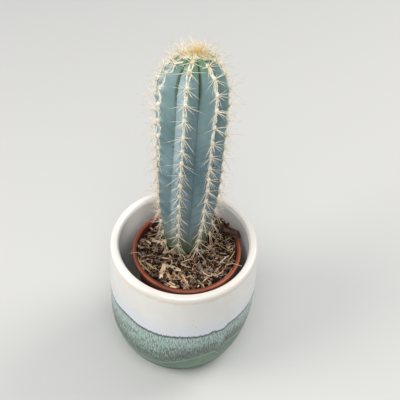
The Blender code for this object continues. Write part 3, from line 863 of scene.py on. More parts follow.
def soil_bed():
    """The root ball: rings from its base up the pot's wall and in over the rough top to the stem's hole.
    Over the top, a point is the share of the way from the hole's edge to the wall, at the ground's height."""
    turn = TAU * np.arange(SOIL_SEGMENTS) / SOIL_SEGMENTS
    way = np.stack([np.cos(turn), np.sin(turn), 0 * turn], -1)
    centre = np.array([*NURSERY_CENTRE, 0])
    hole = np.array([*STEM_FOOT, 0])
    base = NURSERY_BASE + NURSERY_FLOOR + TOUCH
    edge = SOIL_TOP - 0.6 * MM
    heights = np.linspace(base, edge - 1.5 * MM, 8)
    wall = centre + way * soil_radius(heights)[:, None, None] + heights[:, None, None] * UP
    share = np.linspace(1, 0, SOIL_TOP_RINGS)[:, None, None]
    top = blend(hole + way * STEM_HOLE_RADIUS * 0.9, centre + way * soil_radius(edge), share)
    x, y = top[..., 0], top[..., 1]
    height = ground(x, y) + 0.35 * MM * np.sin(x * 2900 + 2 * np.sin(y * 1700)) * np.sin(y * 2500)
    height[0] = np.minimum(height[0], edge)
    top[..., 2] = height
    radius, down = np.array(STEM_PIT).T[..., None, None]
    pit = hole + way * radius + (STEM_ORIGIN - STEM_BURIED * down) * UP
    floor = hole + (STEM_ORIGIN - STEM_BURIED - TOUCH) * UP
    points, faces = skin(np.concatenate([wall, top, pit]), centre + base * UP, floor)
    return mesh_of("soil_bed", points, faces)


def scattered(draw, count, inner=0.0, outer=1.0):
    """Places spread evenly over the soil, outside the stem: an angle and the root of a share of the area."""
    reach = soil_radius(SOIL_TOP) - 0.6 * MM
    turn = draw.uniform(0, TAU, count * 2)
    away = reach * np.sqrt(draw.uniform(inner, outer, count * 2))
    x = NURSERY_CENTRE[0] + away * np.cos(turn)
    y = NURSERY_CENTRE[1] + away * np.sin(turn)
    clear = distance(x, y, STEM_FOOT) > CLEAR_OF_STEM
    return x[clear][:count], y[clear][:count]


def random_ways(draw, count, flatness):
    """Unit vectors in random directions, their upward part multiplied by the flatness."""
    ways = draw.normal(size=(count, 3))
    ways[:, 2] *= flatness
    return unit(ways)


def random_lengths(draw, count, typical, spread, largest):
    """Log-normal lengths about a typical one, held under the largest, both in millimetres."""
    return np.minimum(draw.lognormal(math.log(typical), spread, count), largest) * MM


def banked(x, y):
    """Height of loose mix: the ground, banked up against the pot's wall except in the dip."""
    by_wall = rise(distance(x, y, NURSERY_CENTRE), *BANK_RADII)
    return ground(x, y) + BANK_HEIGHT * by_wall * (1 - hill(x, y, DIP_CENTRE, 1.6 * DIP_RADIUS))


def peat_crumbs(count):
    """Crumbs: short five-sided tubes with a point at each end, whose corners are moved at random."""
    draw = np.random.default_rng(CRUMB_SEED)
    x, y = scattered(draw, count)
    count = len(x)
    size = random_lengths(draw, count, typical=0.60, spread=0.45, largest=2.0)
    size = size * (1 + 0.5 * hill(x, y, HEAP_CENTRE, HEAP_RADIUS))
    centre = np.stack([x, y, banked(x, y) + size * draw.uniform(-0.6, 0.9, count)], -1)
    way = random_ways(draw, count, 0.5)
    reach = np.array([-0.5, 0.5])[:, None] * way[:, None] * size[:, None, None]
    widths = np.repeat((size * draw.uniform(0.45, 0.9, count))[:, None], 2, 1)
    thicks = np.repeat((size * draw.uniform(0.4, 0.8, count))[:, None], 2, 1)
    caps = np.stack([size, size], -1) * 0.45
    points, faces, _, number = tubes(centre[:, None] + reach, widths, thicks, 5, caps)
    points = points + draw.normal(size=points.shape) * (size * 0.14)[number][:, None]
    tone = draw.beta(1.0, 3.4, count)[number]
    return mesh_of("peat_crumbs", points, faces, {"tone": tone}, smooth_shaded=False)


def flakes(name, draw, centre, way, length, width, thick, tone, curl=0.0):
    """Flakes of bark: flat tubes. Each end narrows to its own bluntness, the rings are shifted sideways at
    random, and the whole is bent by the curl. Each side has its own streak of tone."""
    count = len(length)
    share = np.linspace(-0.5, 0.5, FLAKE_RINGS)
    normal = unit(np.cross(np.cross(way, UP), way))
    sideways = unit(np.cross(way, normal))
    bow = np.asarray(curl).reshape(-1, 1, 1) * (share**2 - 0.1)[:, None] * length[:, None, None]
    kink = draw.normal(0, 0.10, (count, FLAKE_RINGS, 1)) * width[:, None, None]
    paths = centre[:, None] + share[:, None] * way[:, None] * length[:, None, None]
    paths = paths + bow * normal[:, None] + kink * sideways[:, None]
    blunt = draw.uniform(0.05, 0.8, (count, 2, 1))
    outline = np.minimum(1, blunt[:, 0] + 2.6 * (0.5 + share))
    outline = outline * np.minimum(1, blunt[:, 1] + 2.6 * (0.5 - share))
    widths = 0.5 * width[:, None] * outline * draw.uniform(0.8, 1.2, (count, FLAKE_RINGS))
    thicks = 0.5 * thick[:, None] * draw.uniform(0.7, 1.3, (count, FLAKE_RINGS))
    caps = np.stack([thick, thick], -1) * draw.uniform(0.1, 0.5, (count, 2))
    points, faces, along, number = tubes(paths, widths, thicks, FLAKE_SIDES, caps)
    points = points + draw.normal(size=points.shape) * (0.10 * thick)[number][:, None]
    streaks = np.tile(draw.normal(0, 0.10, (count, 1, FLAKE_SIDES)), (1, FLAKE_RINGS, 1)).reshape(count, -1)
    tones = tone[:, None] + np.concatenate([streaks, np.zeros((count, 2))], 1)
    values = {"tone": tones.ravel(), "along": along}
    return mesh_of(name, points, faces, values, smooth_shaded=False)


def bark_chips(count):
    """Small chips lying at random on the soil, about level and half sunk in it."""
    draw = np.random.default_rng(CHIP_SEED)
    x, y = scattered(draw, count)
    count = len(x)
    length = random_lengths(draw, count, typical=2.7, spread=0.4, largest=6.5)
    width = length * draw.uniform(0.22, 0.62, count)
    thick = draw.uniform(0.35, 1.0, count) * MM
    centre = np.stack([x, y, banked(x, y) + thick * 0.5 + draw.uniform(-0.4, 0.8, count) * MM], -1)
    way = random_ways(draw, count, 0.3)
    tone = draw.beta(1.1, 1.8, count) * (1 - 0.5 * hill(x, y, HEAP_CENTRE, 1.3 * HEAP_RADIUS))
    return flakes("bark_chips", draw, centre, way, length, width, thick, tone, draw.uniform(-0.2, 0.5, count))


def camera_matrix():
    """Looks along +Y and down, then turned by the yaw and the roll."""
    ahead = Vector((
        math.sin(CAMERA_YAW) * math.cos(CAMERA_DOWN),
        math.cos(CAMERA_YAW) * math.cos(CAMERA_DOWN),
        -math.sin(CAMERA_DOWN),
    ))
    right = ahead.cross(Vector(UP)).normalized()
    up = right.cross(ahead)
    turned_right = math.cos(CAMERA_ROLL) * right + math.sin(CAMERA_ROLL) * up
    turned_up = math.cos(CAMERA_ROLL) * up - math.sin(CAMERA_ROLL) * right
    matrix = Matrix((turned_right, turned_up, -ahead)).transposed().to_4x4()
    matrix.translation = CAMERA_PLACE
    return matrix


def on_soil(pixels, lift=0.0):
    """Points of the soil seen at these pixels of the 400 x 400 frame, raised by the lift. Each point slides
    along its line of sight until its height is the ground's."""
    pixels = np.asarray(pixels, float)
    view = np.array(camera_matrix())
    focal = CAMERA_LENS / CAMERA_SENSOR * FRAME_PIXELS
    middle = FRAME_PIXELS / 2
    ray = (
        (pixels[..., :1] - middle) / focal * view[:3, 0]
        - (pixels[..., 1:] - middle) / focal * view[:3, 1]
        - view[:3, 2]
    )
    start = view[:3, 3]
    height = np.full(pixels.shape[:-1], SOIL_TOP)
    for _ in range(SIGHT_ROUNDS):
        seen = start + ray * ((height - start[2]) / ray[..., 2])[..., None]
        height = 0.5 * height + 0.5 * (banked(seen[..., 0], seen[..., 1]) + lift)
    return start + ray * ((height - start[2]) / ray[..., 2])[..., None]


# Large flakes of bark, by the pixels of their two ends, their width and thickness in millimetres, their tone
# and their curl
LARGE_FLAKES = (
    ((162.5, 265.5), (180.5, 271.0), 5.0, 0.9, 0.95, 0.25),
    ((165.0, 262.0), (159.5, 278.0), 5.2, 1.1, 0.84, 0.30),
    ((165.5, 270.0), (171.0, 282.0), 3.6, 0.8, 0.74, 0.15),
    ((171.5, 273.0), (180.5, 278.5), 3.4, 0.9, 0.50, 0.20),
    ((162.5, 280.5), (179.0, 287.5), 4.4, 1.0, 0.86, 0.12),
    ((152.0, 239.5), (165.5, 243.5), 4.0, 0.8, 0.88, 0.20),
    ((170.5, 252.5), (181.0, 249.0), 4.6, 1.0, 0.62, 0.35),
    ((182.5, 276.0), (189.0, 287.0), 3.0, 1.2, 0.66, 0.55),
    ((183.5, 285.5), (188.5, 292.0), 3.8, 1.5, 0.45, 0.60),
    ((146.0, 262.5), (151.5, 266.0), 2.8, 0.8, 0.66, 0.20),
    ((181.5, 263.5), (190.0, 267.0), 3.0, 1.0, 0.64, 0.20),
    ((191.5, 258.5), (196.0, 262.0), 2.4, 0.9, 0.36, 0.30),
    ((197.5, 262.0), (203.0, 276.5), 5.4, 1.0, 0.03, 0.15),
    ((206.0, 267.5), (217.0, 270.5), 4.2, 1.0, 0.06, 0.15),
    ((139.0, 250.5), (148.0, 254.0), 5.0, 1.0, 0.08, 0.15),
    ((149.0, 255.0), (157.0, 262.0), 4.6, 1.0, 0.04, 0.15),
    ((196.0, 284.0), (209.0, 281.5), 2.8, 0.9, 0.30, 0.15),
    ((205.5, 248.5), (214.0, 244.5), 2.2, 0.8, 0.52, 0.25),
)

# Straws and roots, by the pixels of the points that they pass, with their thickness in millimetres and tone
STRAWS = (
    (((197.7, 287.6), (202.5, 282.3), (207.6, 277.0)), 0.85, 0.95),
    (((198.5, 281.5), (201.5, 284.5), (204.5, 288.5)), 0.5, 0.75),
    (((219.0, 264.7), (223.5, 259.5), (229.0, 255.5)), 0.95, 0.92),
    (((201.0, 268.5), (207.0, 274.5), (213.8, 277.0), (219.0, 273.5), (226.0, 265.0)), 0.6, 0.82),
    (((226.0, 265.0), (231.0, 264.0), (237.0, 265.2), (242.0, 266.5)), 0.5, 0.9),
    (((130.5, 253.8), (134.5, 253.2), (139.0, 253.4), (141.5, 256.0)), 0.5, 0.85),
    (((138.0, 257.0), (139.5, 262.0), (145.0, 268.5), (153.0, 274.6)), 0.6, 0.72),
    (((161.5, 257.8), (166.5, 258.8), (171.0, 258.6), (171.5, 262.0), (170.5, 265.5)), 0.65, 0.8),
    (((181.0, 263.0), (186.5, 260.3), (193.0, 258.8)), 0.55, 0.8),
    (((214.0, 272.5), (217.5, 269.5), (221.0, 266.0)), 0.5, 0.7),
    (((228.0, 261.0), (231.5, 256.5), (235.0, 251.0)), 0.5, 0.8),
    (((205.0, 252.5), (211.0, 249.0), (218.0, 247.5)), 0.45, 0.6),
    (((214.5, 242.0), (224.0, 248.0), (234.0, 252.5)), 0.4, 0.72),
    (((186.5, 283.0), (186.0, 287.0), (183.0, 290.0)), 0.6, 0.55),
    (((141.0, 243.0), (145.0, 247.0), (152.0, 247.5)), 0.4, 0.6),
    (((232.0, 268.5), (229.0, 274.0), (224.0, 278.5)), 0.45, 0.66),
)


def large_flakes():
    """The flakes that stand out in the picture, lying on the soil between the two ends given for each, in
    splinters that overlap and fan out a little."""
    draw = np.random.default_rng(LARGE_FLAKE_SEED)
    ends = np.array([flake[:2] for flake in LARGE_FLAKES])
    ends = np.repeat(on_soil(ends, 1.0 * MM), SPLINTERS, axis=0)
    width, thick, tone, curl = np.repeat([flake[2:] for flake in LARGE_FLAKES], SPLINTERS, axis=0).T
    count = len(ends)
    ends = ends + draw.normal(0, 0.17, (count, 2, 3)) * (width * MM)[:, None, None] * [1, 1, 0.5]
    way = ends[:, 1] - ends[:, 0]
    length = np.linalg.norm(way, axis=-1) * draw.uniform(0.55, 1.0, count)
    centre = ends.mean(axis=1) + way * draw.uniform(-0.15, 0.15, (count, 1))
    width = width * draw.uniform(0.35, 0.7, count)
    tone = np.clip(tone + draw.normal(0, 0.10, count), 0, 1)
    thick = thick * 0.8 * MM
    return flakes("large_bark_flakes", draw, centre, unit(way), length, width * MM, thick, tone, curl)


def rim_chunk():
    """The dark piece of bark that lies on the heap and reaches over the pot's rim."""
    draw = np.random.default_rng(CHUNK_SEED)
    centre = np.array([[34.8, 20.7, 102.8], [29.5, 23.4, 103.0], [38.9, 18.8, 102.9]]) * MM
    way = unit(np.array([[0.88, -0.46, 0.03], [0.75, -0.5, -0.15], [0.8, -0.5, 0.2]]))
    length = np.array([14.6, 9.0, 7.0]) * MM
    width = np.array([7.6, 6.0, 6.4]) * MM
    thick = np.array([3.4, 2.6, 2.2]) * MM
    tone = np.array([0.10, 0.04, 0.22])
    return flakes("rim_bark_chunk", draw, centre, way, length, width, thick, tone, 0.15)


def rim_spill(count):
    """Dark crumbs of the heap that spill on to the nursery pot's rim behind the stem, spread at random along
    an arc and lower on its outer side."""
    draw = np.random.default_rng(SPILL_SEED)
    turn = np.radians(draw.uniform(*SPILL_ARC, count))
    away = draw.uniform(0, 1, count)
    radius = blend(*SPILL_RADII, away)
    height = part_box("nursery_pot")[1].z + (draw.uniform(-0.3, 1.7, count) - 0.9 * away) * MM
    flat = np.stack([np.cos(turn), np.sin(turn)], -1) * radius[:, None] + NURSERY_CENTRE
    centre = np.concatenate([flat, height[:, None]], 1)
    length = draw.uniform(1.6, 4.4, count) * MM
    width = length * draw.uniform(0.4, 0.8, count)
    thick = draw.uniform(0.9, 1.9, count) * MM
    tone = draw.beta(1.1, 2.6, count) * 0.8
    return flakes("rim_spill", draw, centre, random_ways(draw, count, 0.4), length, width, thick, tone, 0.1)


def through(points, steps):
    """A smooth path through a few points: each coordinate follows a parabola or cubic of the share walked."""
    points = np.asarray(points)
    walked = np.concatenate([[0], np.cumsum(np.linalg.norm(np.diff(points, axis=0), axis=1))])
    share = walked / walked[-1]
    degree = min(len(points) - 1, 3)
    wanted = np.linspace(0, 1, steps)
    return np.stack([np.polyval(np.polyfit(share, points[:, k], degree), wanted) for k in range(3)], -1)


def straws():
    """The pale straws and roots that stand out in the picture: tubes along smooth paths over the soil."""
    draw = np.random.default_rng(STRAW_SEED)
    paths = np.stack([through(on_soil(np.array(points), 1.3 * MM), 9) for points, _, _ in STRAWS])
    rim_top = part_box("nursery_pot")[1].z
    over_rim = distance(paths[..., 0], paths[..., 1], NURSERY_CENTRE) > soil_radius(SOIL_TOP) - 1.5 * MM
    paths[..., 2] = np.where(over_rim, np.maximum(paths[..., 2], rim_top + 0.5 * MM), paths[..., 2])
    thick = np.array([straw[1] for straw in STRAWS])[:, None] * MM / 2
    taper = np.array([0.7, 1.0, 1.05, 1.0, 0.95, 1.0, 0.95, 0.85, 0.5])
    radii = thick * taper * draw.uniform(0.85, 1.15, (len(STRAWS), len(taper)))
    tone = np.array([straw[2] for straw in STRAWS])
    points, faces, along, number = tubes(paths, radii * 1.25, radii, 6, (0.1 * MM, 0.2 * MM))
    return mesh_of("pale_straws", points, faces, {"tone": tone[number], "along": along})


def fibres(count):
    """Fine root fibres and coir: thin curved tubes that lie on the soil and arch a little over it. Each
    starts half its length behind its place and walks on by even steps, turning as it goes."""
    draw = np.random.default_rng(FIBRE_SEED)
    x, y = scattered(draw, count, outer=0.96)
    count = len(x)
    length = random_lengths(draw, count, typical=5.0, spread=0.5, largest=13)[:, None]
    heading = draw.uniform(0, TAU, count)[:, None]
    turning = draw.normal(0, 1.1, count)[:, None]
    share = np.linspace(-0.5, 0.5, 8)
    bearing = heading + turning * share
    px = x[:, None] + np.cumsum(np.cos(bearing), axis=1) * (length / 7) - np.cos(heading) * length / 2
    py = y[:, None] + np.cumsum(np.sin(bearing), axis=1) * (length / 7) - np.sin(heading) * length / 2
    shrink = np.minimum(1, (soil_radius(SOIL_TOP) - 0.5 * MM) / distance(px, py, NURSERY_CENTRE))
    px = NURSERY_CENTRE[0] + (px - NURSERY_CENTRE[0]) * shrink
    py = NURSERY_CENTRE[1] + (py - NURSERY_CENTRE[1]) * shrink
    arch = draw.uniform(0.2, 1.6, count)[:, None] * MM * (1 - 4 * share**2)
    paths = np.stack([px, py, banked(px, py) + 0.5 * MM + arch], -1)
    radius = (draw.uniform(0.06, 0.17, count) * MM)[:, None] * np.array([0.7, 1, 1, 1, 1, 1, 0.85, 0.5])
    points, faces, along, number = tubes(paths, radius, radius, 4, (0.1 * MM, 0.2 * MM))
    tone = draw.beta(1.6, 1.2, count)[number]
    return mesh_of("root_fibres", points, faces, {"tone": tone, "along": along})


# Tones of the loose mix, from the darkest pieces to the palest
PEAT_TONES = ((0.0, "0F0908"), (0.3, "2A1A13"), (0.6, "573B2A"), (1.0, "A08870"))
BARK_TONES = ((0.0, "20130E"), (0.3, "5F4030"), (0.6, "A07C5C"), (1.0, "E0C4A2"))
STRAW_TONES = ((0.0, "4A3222"), (0.45, "8A6C4C"), (0.8, "C4A880"), (1.0, "E9D9BC"))


def crumb_finish():
    """Tones of the mix by each crumb's own number, roughened by a fine grain and reddish in places."""
    finish = Finish("peat_crumbs", ior=1.35, specular_ior_level=0.3)
    grainy = finish.noise(0.0011, 0.0011, 4.0, 0.65)
    tone = finish.ramp(finish.attribute("tone") + (grainy - 0.5) * 0.55, PEAT_TONES)
    reddish = finish.noise(0.0034, 0.0034, 2.0).rise(0.52, 0.66)
    tone = finish.mix(reddish * 0.5, tone, "4A2418", "LIGHTEN")
    return finish.wear(base_color=tone, roughness=0.9, normal=finish.bump(grainy, 0.0003, 0.8))


def wood_finish(name, stops, weathering=0.45):
    """Bark or straw: tone by piece, with a streaky grain, darker ends and greyish weathered places."""
    finish = Finish(name, ior=1.4, specular_ior_level=0.35)
    streaky = finish.noise(0.0005, 0.0005, 3.0, 0.6)
    patchy = finish.noise(0.0021, 0.0021, 2.0)
    end = abs(finish.attribute("along") - 0.5).rise(0.38, 0.52)
    tone = finish.attribute("tone") + (streaky - 0.5) * 0.6 + (patchy - 0.5) * 0.45 - end * 0.12
    greyish = finish.noise(0.0052, 0.0052, 1.0).rise(0.5, 0.62)
    tone = finish.mix(greyish * weathering, finish.ramp(tone, stops), "8A857C")
    return finish.wear(base_color=tone, roughness=0.78, normal=finish.bump(streaky, 0.00018, 0.9))


def bed_finish(settings):
    """The dark ground between the crumbs."""
    finish = Finish("dark_peat", ior=1.35, specular_ior_level=0.25)
    grainy = finish.noise(0.0009, 0.0009, 5.0, 0.7)
    clods = finish.noise(0.0045, 0.0045, 2.0)
    tone = finish.mix(grainy.rise(0.42, 0.68), "0B0706", settings.peat)
    tone = finish.mix(clods.rise(0.5, 0.75) * 0.35, tone, "4B3020")
    relief = finish.bump(grainy + clods * 2.0, 0.0006, 1.0)
    return finish.wear(base_color=tone, roughness=0.95, normal=relief)


def dome_radius(height):
    """1 below the dome, and in it the root of 1 less a power of the share of its height, down to 0 on top."""
    share = np.clip((height - (STEM_HEIGHT - DOME_HEIGHT)) / DOME_HEIGHT, 0, 1)
    return np.sqrt(1 - share**DOME_POWER)


def crest_radius(height):
    """Radius of the rib crests: cubic Hermite curves through the side points, times the dome's radius."""
    height = np.asarray(height, float)
    heights, radii = np.array(SIDE_POINTS).T * MM
    slopes = np.gradient(radii, heights)
    slopes[-1] = 0
    k = np.clip(np.searchsorted(heights, height, side="right") - 1, 0, len(heights) - 2)
    span = heights[k + 1] - heights[k]
    t = np.clip((height - heights[k]) / span, 0, 1)
    side = (
        radii[k] * (2 * t**3 - 3 * t**2 + 1)
        + radii[k + 1] * (3 * t**2 - 2 * t**3)
        + span * (slopes[k] * (t**3 - 2 * t**2 + t) + slopes[k + 1] * (t**3 - t**2))
    )
    return side * dome_radius(height)


def crest_lengths():
    """Heights along a crest and the length of the crest up to each."""
    heights = STEM_HEIGHT * np.sin(np.linspace(0, math.pi / 2, CREST_SAMPLES))
    steps = np.hypot(np.diff(heights), np.diff(crest_radius(heights)))
    return heights, np.concatenate([[0], np.cumsum(steps)])


def station_heights():
    """Heights of the areoles of both kinds of rib in turn, up the crest and crowding towards the apex."""
    heights, lengths = crest_lengths()
    whole = lengths[-1]
    found = []
    along = FIRST_STATION
    while whole - along > APEX_CLEAR:
        found.append(along)
        growth = 1 + sum(more * bell(along - at, width) for at, width, more in GROWTH_SPELLS)
        along += max(CROWDING_LEAST, min(AREOLE_SPACING / 2 * growth, CROWDING * (whole - along)))
    return np.interp(found, lengths, heights)


def areoles_of(rib, levels):
    """Heights of the areoles on one rib: every other station, in turn with the next rib's, a little lower on
    some ribs, measured along the crest."""
    heights, lengths = crest_lengths()
    along = np.interp(levels[(rib + 1) % 2::2], heights, lengths) - RIB_SHIFTS[rib]
    return np.interp(along, lengths, heights)


def bend(height):
    """How far the crown has bent and twisted at a height: smoothly from 0 to 1 over the top 40 mm."""
    return rise(height, BEND_START, STEM_HEIGHT)


def rib_turn(position, height):
    """Direction of a rib position, 0 to 8, at a height: between the angles at the foot and at the top."""
    steps = np.arange(RIBS + 1)
    foot = np.interp(position, steps, [*RIB_ANGLES_AT_FOOT, RIB_ANGLES_AT_FOOT[0] + 360])
    top = np.interp(position, steps, [*RIB_ANGLES_AT_TOP, RIB_ANGLES_AT_TOP[0] + 360])
    twist = np.interp(position, steps, [*CROWN_TWIST, CROWN_TWIST[0]])
    return np.radians(blend(foot, top, np.clip(height / STEM_HEIGHT, 0, 1)) + twist * bend(height))


def stem_point(turn, radius, height):
    """A point of the stem: a direction, a distance and a height about the axis, which leans and bends."""
    turn, radius, height = np.broadcast_arrays(turn, radius, height)
    bent = bend(height)
    lean = STEM_LEAN * height / STEM_HEIGHT
    return np.stack([
        STEM_FOOT[0] + lean + radius * np.sin(turn) + CROWN_SHIFT[0] * bent,
        STEM_FOOT[1] - radius * np.cos(turn) + CROWN_SHIFT[1] * bent,
        STEM_ORIGIN + height + CROWN_SHIFT[2] * bent,
    ], -1)


def rib_section(u):
    """Height of a rib's section above the valley, from 1 on the crest at u 0 to 0 in the valley at u 1."""
    flat = math.sqrt(1 + CREST_ROUNDING**2) - CREST_ROUNDING
    return 1 - (np.sqrt(u * u + CREST_ROUNDING**2) - CREST_ROUNDING) / flat


def rib_radius(position, height):
    """Radius of the plain ribbed skin: the crest's, less the valley's depth times one minus the section."""
    u = 2 * np.abs(position - np.rint(position))
    depth = blend(RIB_DEPTH_LOW, RIB_DEPTH_HIGH, np.clip(height / (STEM_HEIGHT * 0.85), 0, 1))
    return crest_radius(height) * (1 - depth * (1 - rib_section(u)))


def crest_swelling(height, mine):
    """A low swelling under each areole of a rib, with a nick above it."""
    above = height[..., None] - mine
    marks = sum(reach * bell(above - place, width) for reach, place, width in CREST_MARKS)
    return marks.sum(axis=-1) * rise(dome_radius(height), 0, 0.35)


def creases(u, height, mine):
    """Creases that fall from each areole to the valley with a power of the way across, and fade at both."""
    above = height[..., None] - mine + (CREASE_FALL * u**CREASE_POWER)[..., None]
    return bell(above, CREASE_WIDTH).sum(axis=-1) * rise(u, 0, 0.2) * rise(u, 1.05, 0.85)


def stem_skin(levels):
    """The ribbed stem. Across: the rib position. Up: the length along a crest. A point's radius is the plain
    rib's, less a fine groove in the valley, plus the marks and a slow unevenness. Flanks that face the key
    light are marked by the cosine of the angle to it, for painted light on them."""
    position = np.arange(RIBS * RIB_COLUMNS) / RIB_COLUMNS
    nearest = np.rint(position).astype(int) % RIBS
    u = 2 * np.abs(position - np.rint(position))
    heights, lengths = crest_lengths()
    rows = np.interp(np.linspace(0, lengths[-1] * 0.9985, STEM_ROWS), lengths, heights)[:, None]
    groove = GROOVE_DEPTH * bell(1 - u, 0.05) * rise(rows, *GROOVE_FADE)
    uneven = UNEVENNESS * np.sin(rows * 210 + nearest * 2.1) * np.sin(u * 3.1 + nearest + rows * 90)
    swelling = np.zeros(uneven.shape)
    crease = np.zeros(uneven.shape)
    for rib in range(RIBS):
        mine = areoles_of(rib, levels)
        swelling[:, nearest == rib] = crest_swelling(rows, mine)
        crease[:, nearest == rib] = creases(u[nearest == rib], rows, mine)
    radius = rib_radius(position, rows) - groove * dome_radius(rows)
    radius = radius + swelling * rise(u, 0.55, 0)
    radius = radius + (uneven * u - CREASE_DEPTH * crease) * rise(dome_radius(rows), 0, 0.35)
    body = stem_point(rib_turn(position, rows), radius, rows)
    faces_out = unit(np.cross(np.roll(body, -1, 1) - np.roll(body, 1, 1), np.gradient(body, axis=0)))
    # Painted light: how squarely each flank faces the key light
    sunny = np.clip(faces_out @ unit(np.array(LIT_FLANK_WAY)), 0, 1)
    narrow, below = np.array(BURIED_RINGS).T[..., None]
    buried = stem_point(rib_turn(position, 0.0), narrow, -STEM_BURIED * below)
    poles = stem_point(0.0, 0.0, np.array([-STEM_BURIED, STEM_HEIGHT]))
    rings = np.concatenate([buried, body])
    points, faces = skin(rings, *poles)
    unmarked = np.zeros(buried.size // 3)
    return mesh_of("cactus_skin", points, faces, {
        "across": np.concatenate([np.tile(u, len(rings)), [0, 0]]),
        "crease": np.concatenate([unmarked, crease.ravel(), [0, 0]]),
        "sunny": np.concatenate([unmarked, sunny.ravel(), [0, 0.3]]),
    })


def skin_finish(settings):
    """Waxy blue-green skin: a powdery bloom, greener at the foot, in the crown and in the valleys, a few
    scars, painted light on the flanks that face the key light, and painted shade along the creases."""
    finish = Finish("blue_green_skin", ior=1.4, specular_ior_level=0.35, coat_roughness=0.45)
    _, _, z = finish.axes()
    across = finish.attribute("across")
    slow = finish.noise(0.013, 0.026, 3.0)
    powder = finish.noise(0.0011, 0.0016, 4.0, 0.6)
    high = z.rise(0.180, 0.245)
    top = z.rise(0.232, 0.264)
    sunny = (finish.attribute("sunny") + (slow - 0.5) * 0.12).rise(0.60, 0.92)
    foot = (z + (slow - 0.5) * 0.012 + across * 0.006).rise(0.138, 0.108)
    crown = (z + (slow - 0.5) * 0.008).rise(0.2615, 0.2725)
    scars = finish.specks(0.0048, 0.085) * finish.noise(0.009, 0.009, 1.0).rise(0.45, 0.6)
    tone = finish.layered(
        settings.skin,
        (slow.rise(0.3, 0.7), settings.bloom),
        (powder.rise(0.45, 0.70) * 0.50, "647C7C"),
        (powder.rise(0.42, 0.28) * 0.35, "A6B6B2"),
        (z.rise(0.200, 0.140) * 0.32, "5B6C67"),
        (z.rise(0.150, 0.118) * (slow * 0.25 + 0.04), "A3A089"),
        (high * 0.30, "92AEA2"),
        # Painted light on the flanks that face the key light
        (sunny * (0.22 + z.rise(0.175, 0.210) * 0.30), "A8C0C8"),
        (across.rise(0.30, 0.05) * high * 0.5, "A9BDB6"),
        # Painted shade along the creases
        (finish.attribute("crease") * (0.32 - high * 0.22), "3E5A55"),
        (foot * 0.85, settings.green),
        (crown * 0.8, settings.young),
        ((across + top * 0.10).rise(0.89, 1.0) * (0.06 + top * 0.79), settings.green),
        (across.rise(0.955, 1.0) * (0.25 + z.rise(0.232, 0.252) * 0.6), settings.valley),
        (scars * 0.6, "33504C"),
        (finish.specks(0.0031, 0.06) * 0.3, "9DB4B2"),
    )
    return finish.wear(
        base_color=tone,
        roughness=0.48 + powder * 0.16,
        coat_weight=0.12 + foot * 0.1,
        normal=finish.bump(powder * 0.6 + slow * 2.0 - scars * 0.7, 0.00028, 0.6),
    )


def crest_point(rib, height):
    """Points on the crests of ribs at these heights."""
    return stem_point(rib_turn(rib, height), crest_radius(height), height)


def crest_frames(rib, height):
    """Points on the crests, with the unit directions outwards, up along the crest and sideways."""
    reach = 0.4 * MM
    up = unit(crest_point(rib, np.minimum(height + reach, STEM_HEIGHT)) - crest_point(rib, height - reach))
    turn = rib_turn(rib, height)
    side = np.stack([np.cos(turn), np.sin(turn), 0 * turn], -1)
    return crest_point(rib, height), unit(np.cross(side, up)), up, side


def all_areoles(levels):
    """The rib and the height of every areole, and its part of the stem's age: 1 at the foot, 0 on top."""
    heights = [areoles_of(k, levels) for k in range(RIBS)]
    rib = np.repeat(np.arange(RIBS), [len(mine) for mine in heights])
    height = np.concatenate(heights)
    return rib, height, 1 - height / STEM_HEIGHT


def areole_pads(levels):
    """Felt pads: each a long dome whose width follows a circle along its length, fuller at its foot."""
    draw = np.random.default_rng(PAD_SEED)
    rib, height, age = all_areoles(levels)
    count = len(rib)
    place, outward, up, side = crest_frames(rib, height)
    shrink = 0.75 + 0.25 * dome_radius(height)
    turn = np.radians(np.linspace(-PAD_END, PAD_END, len(PAD_BULGE)))
    bulge = np.cos(turn) * np.array(PAD_BULGE)
    long = (shrink * draw.uniform(*PAD_LENGTHS, count))[:, None, None] * np.sin(turn)[:, None]
    paths = place[:, None] + up[:, None] * long + outward[:, None] * 0.3 * MM
    widths = (shrink * draw.uniform(*PAD_WIDTHS, count))[:, None] * bulge
    thicks = (shrink * draw.uniform(*PAD_THICKNESSES, count))[:, None] * bulge
    across = np.broadcast_to(side[:, None], paths.shape)
    points, faces, along, number = tubes(paths, widths, thicks, PAD_SIDES, (0.12 * MM, 0.12 * MM), across)
    points = points + draw.normal(size=points.shape) * 0.10 * MM
    return points, faces, np.stack([age[number], along], -1)


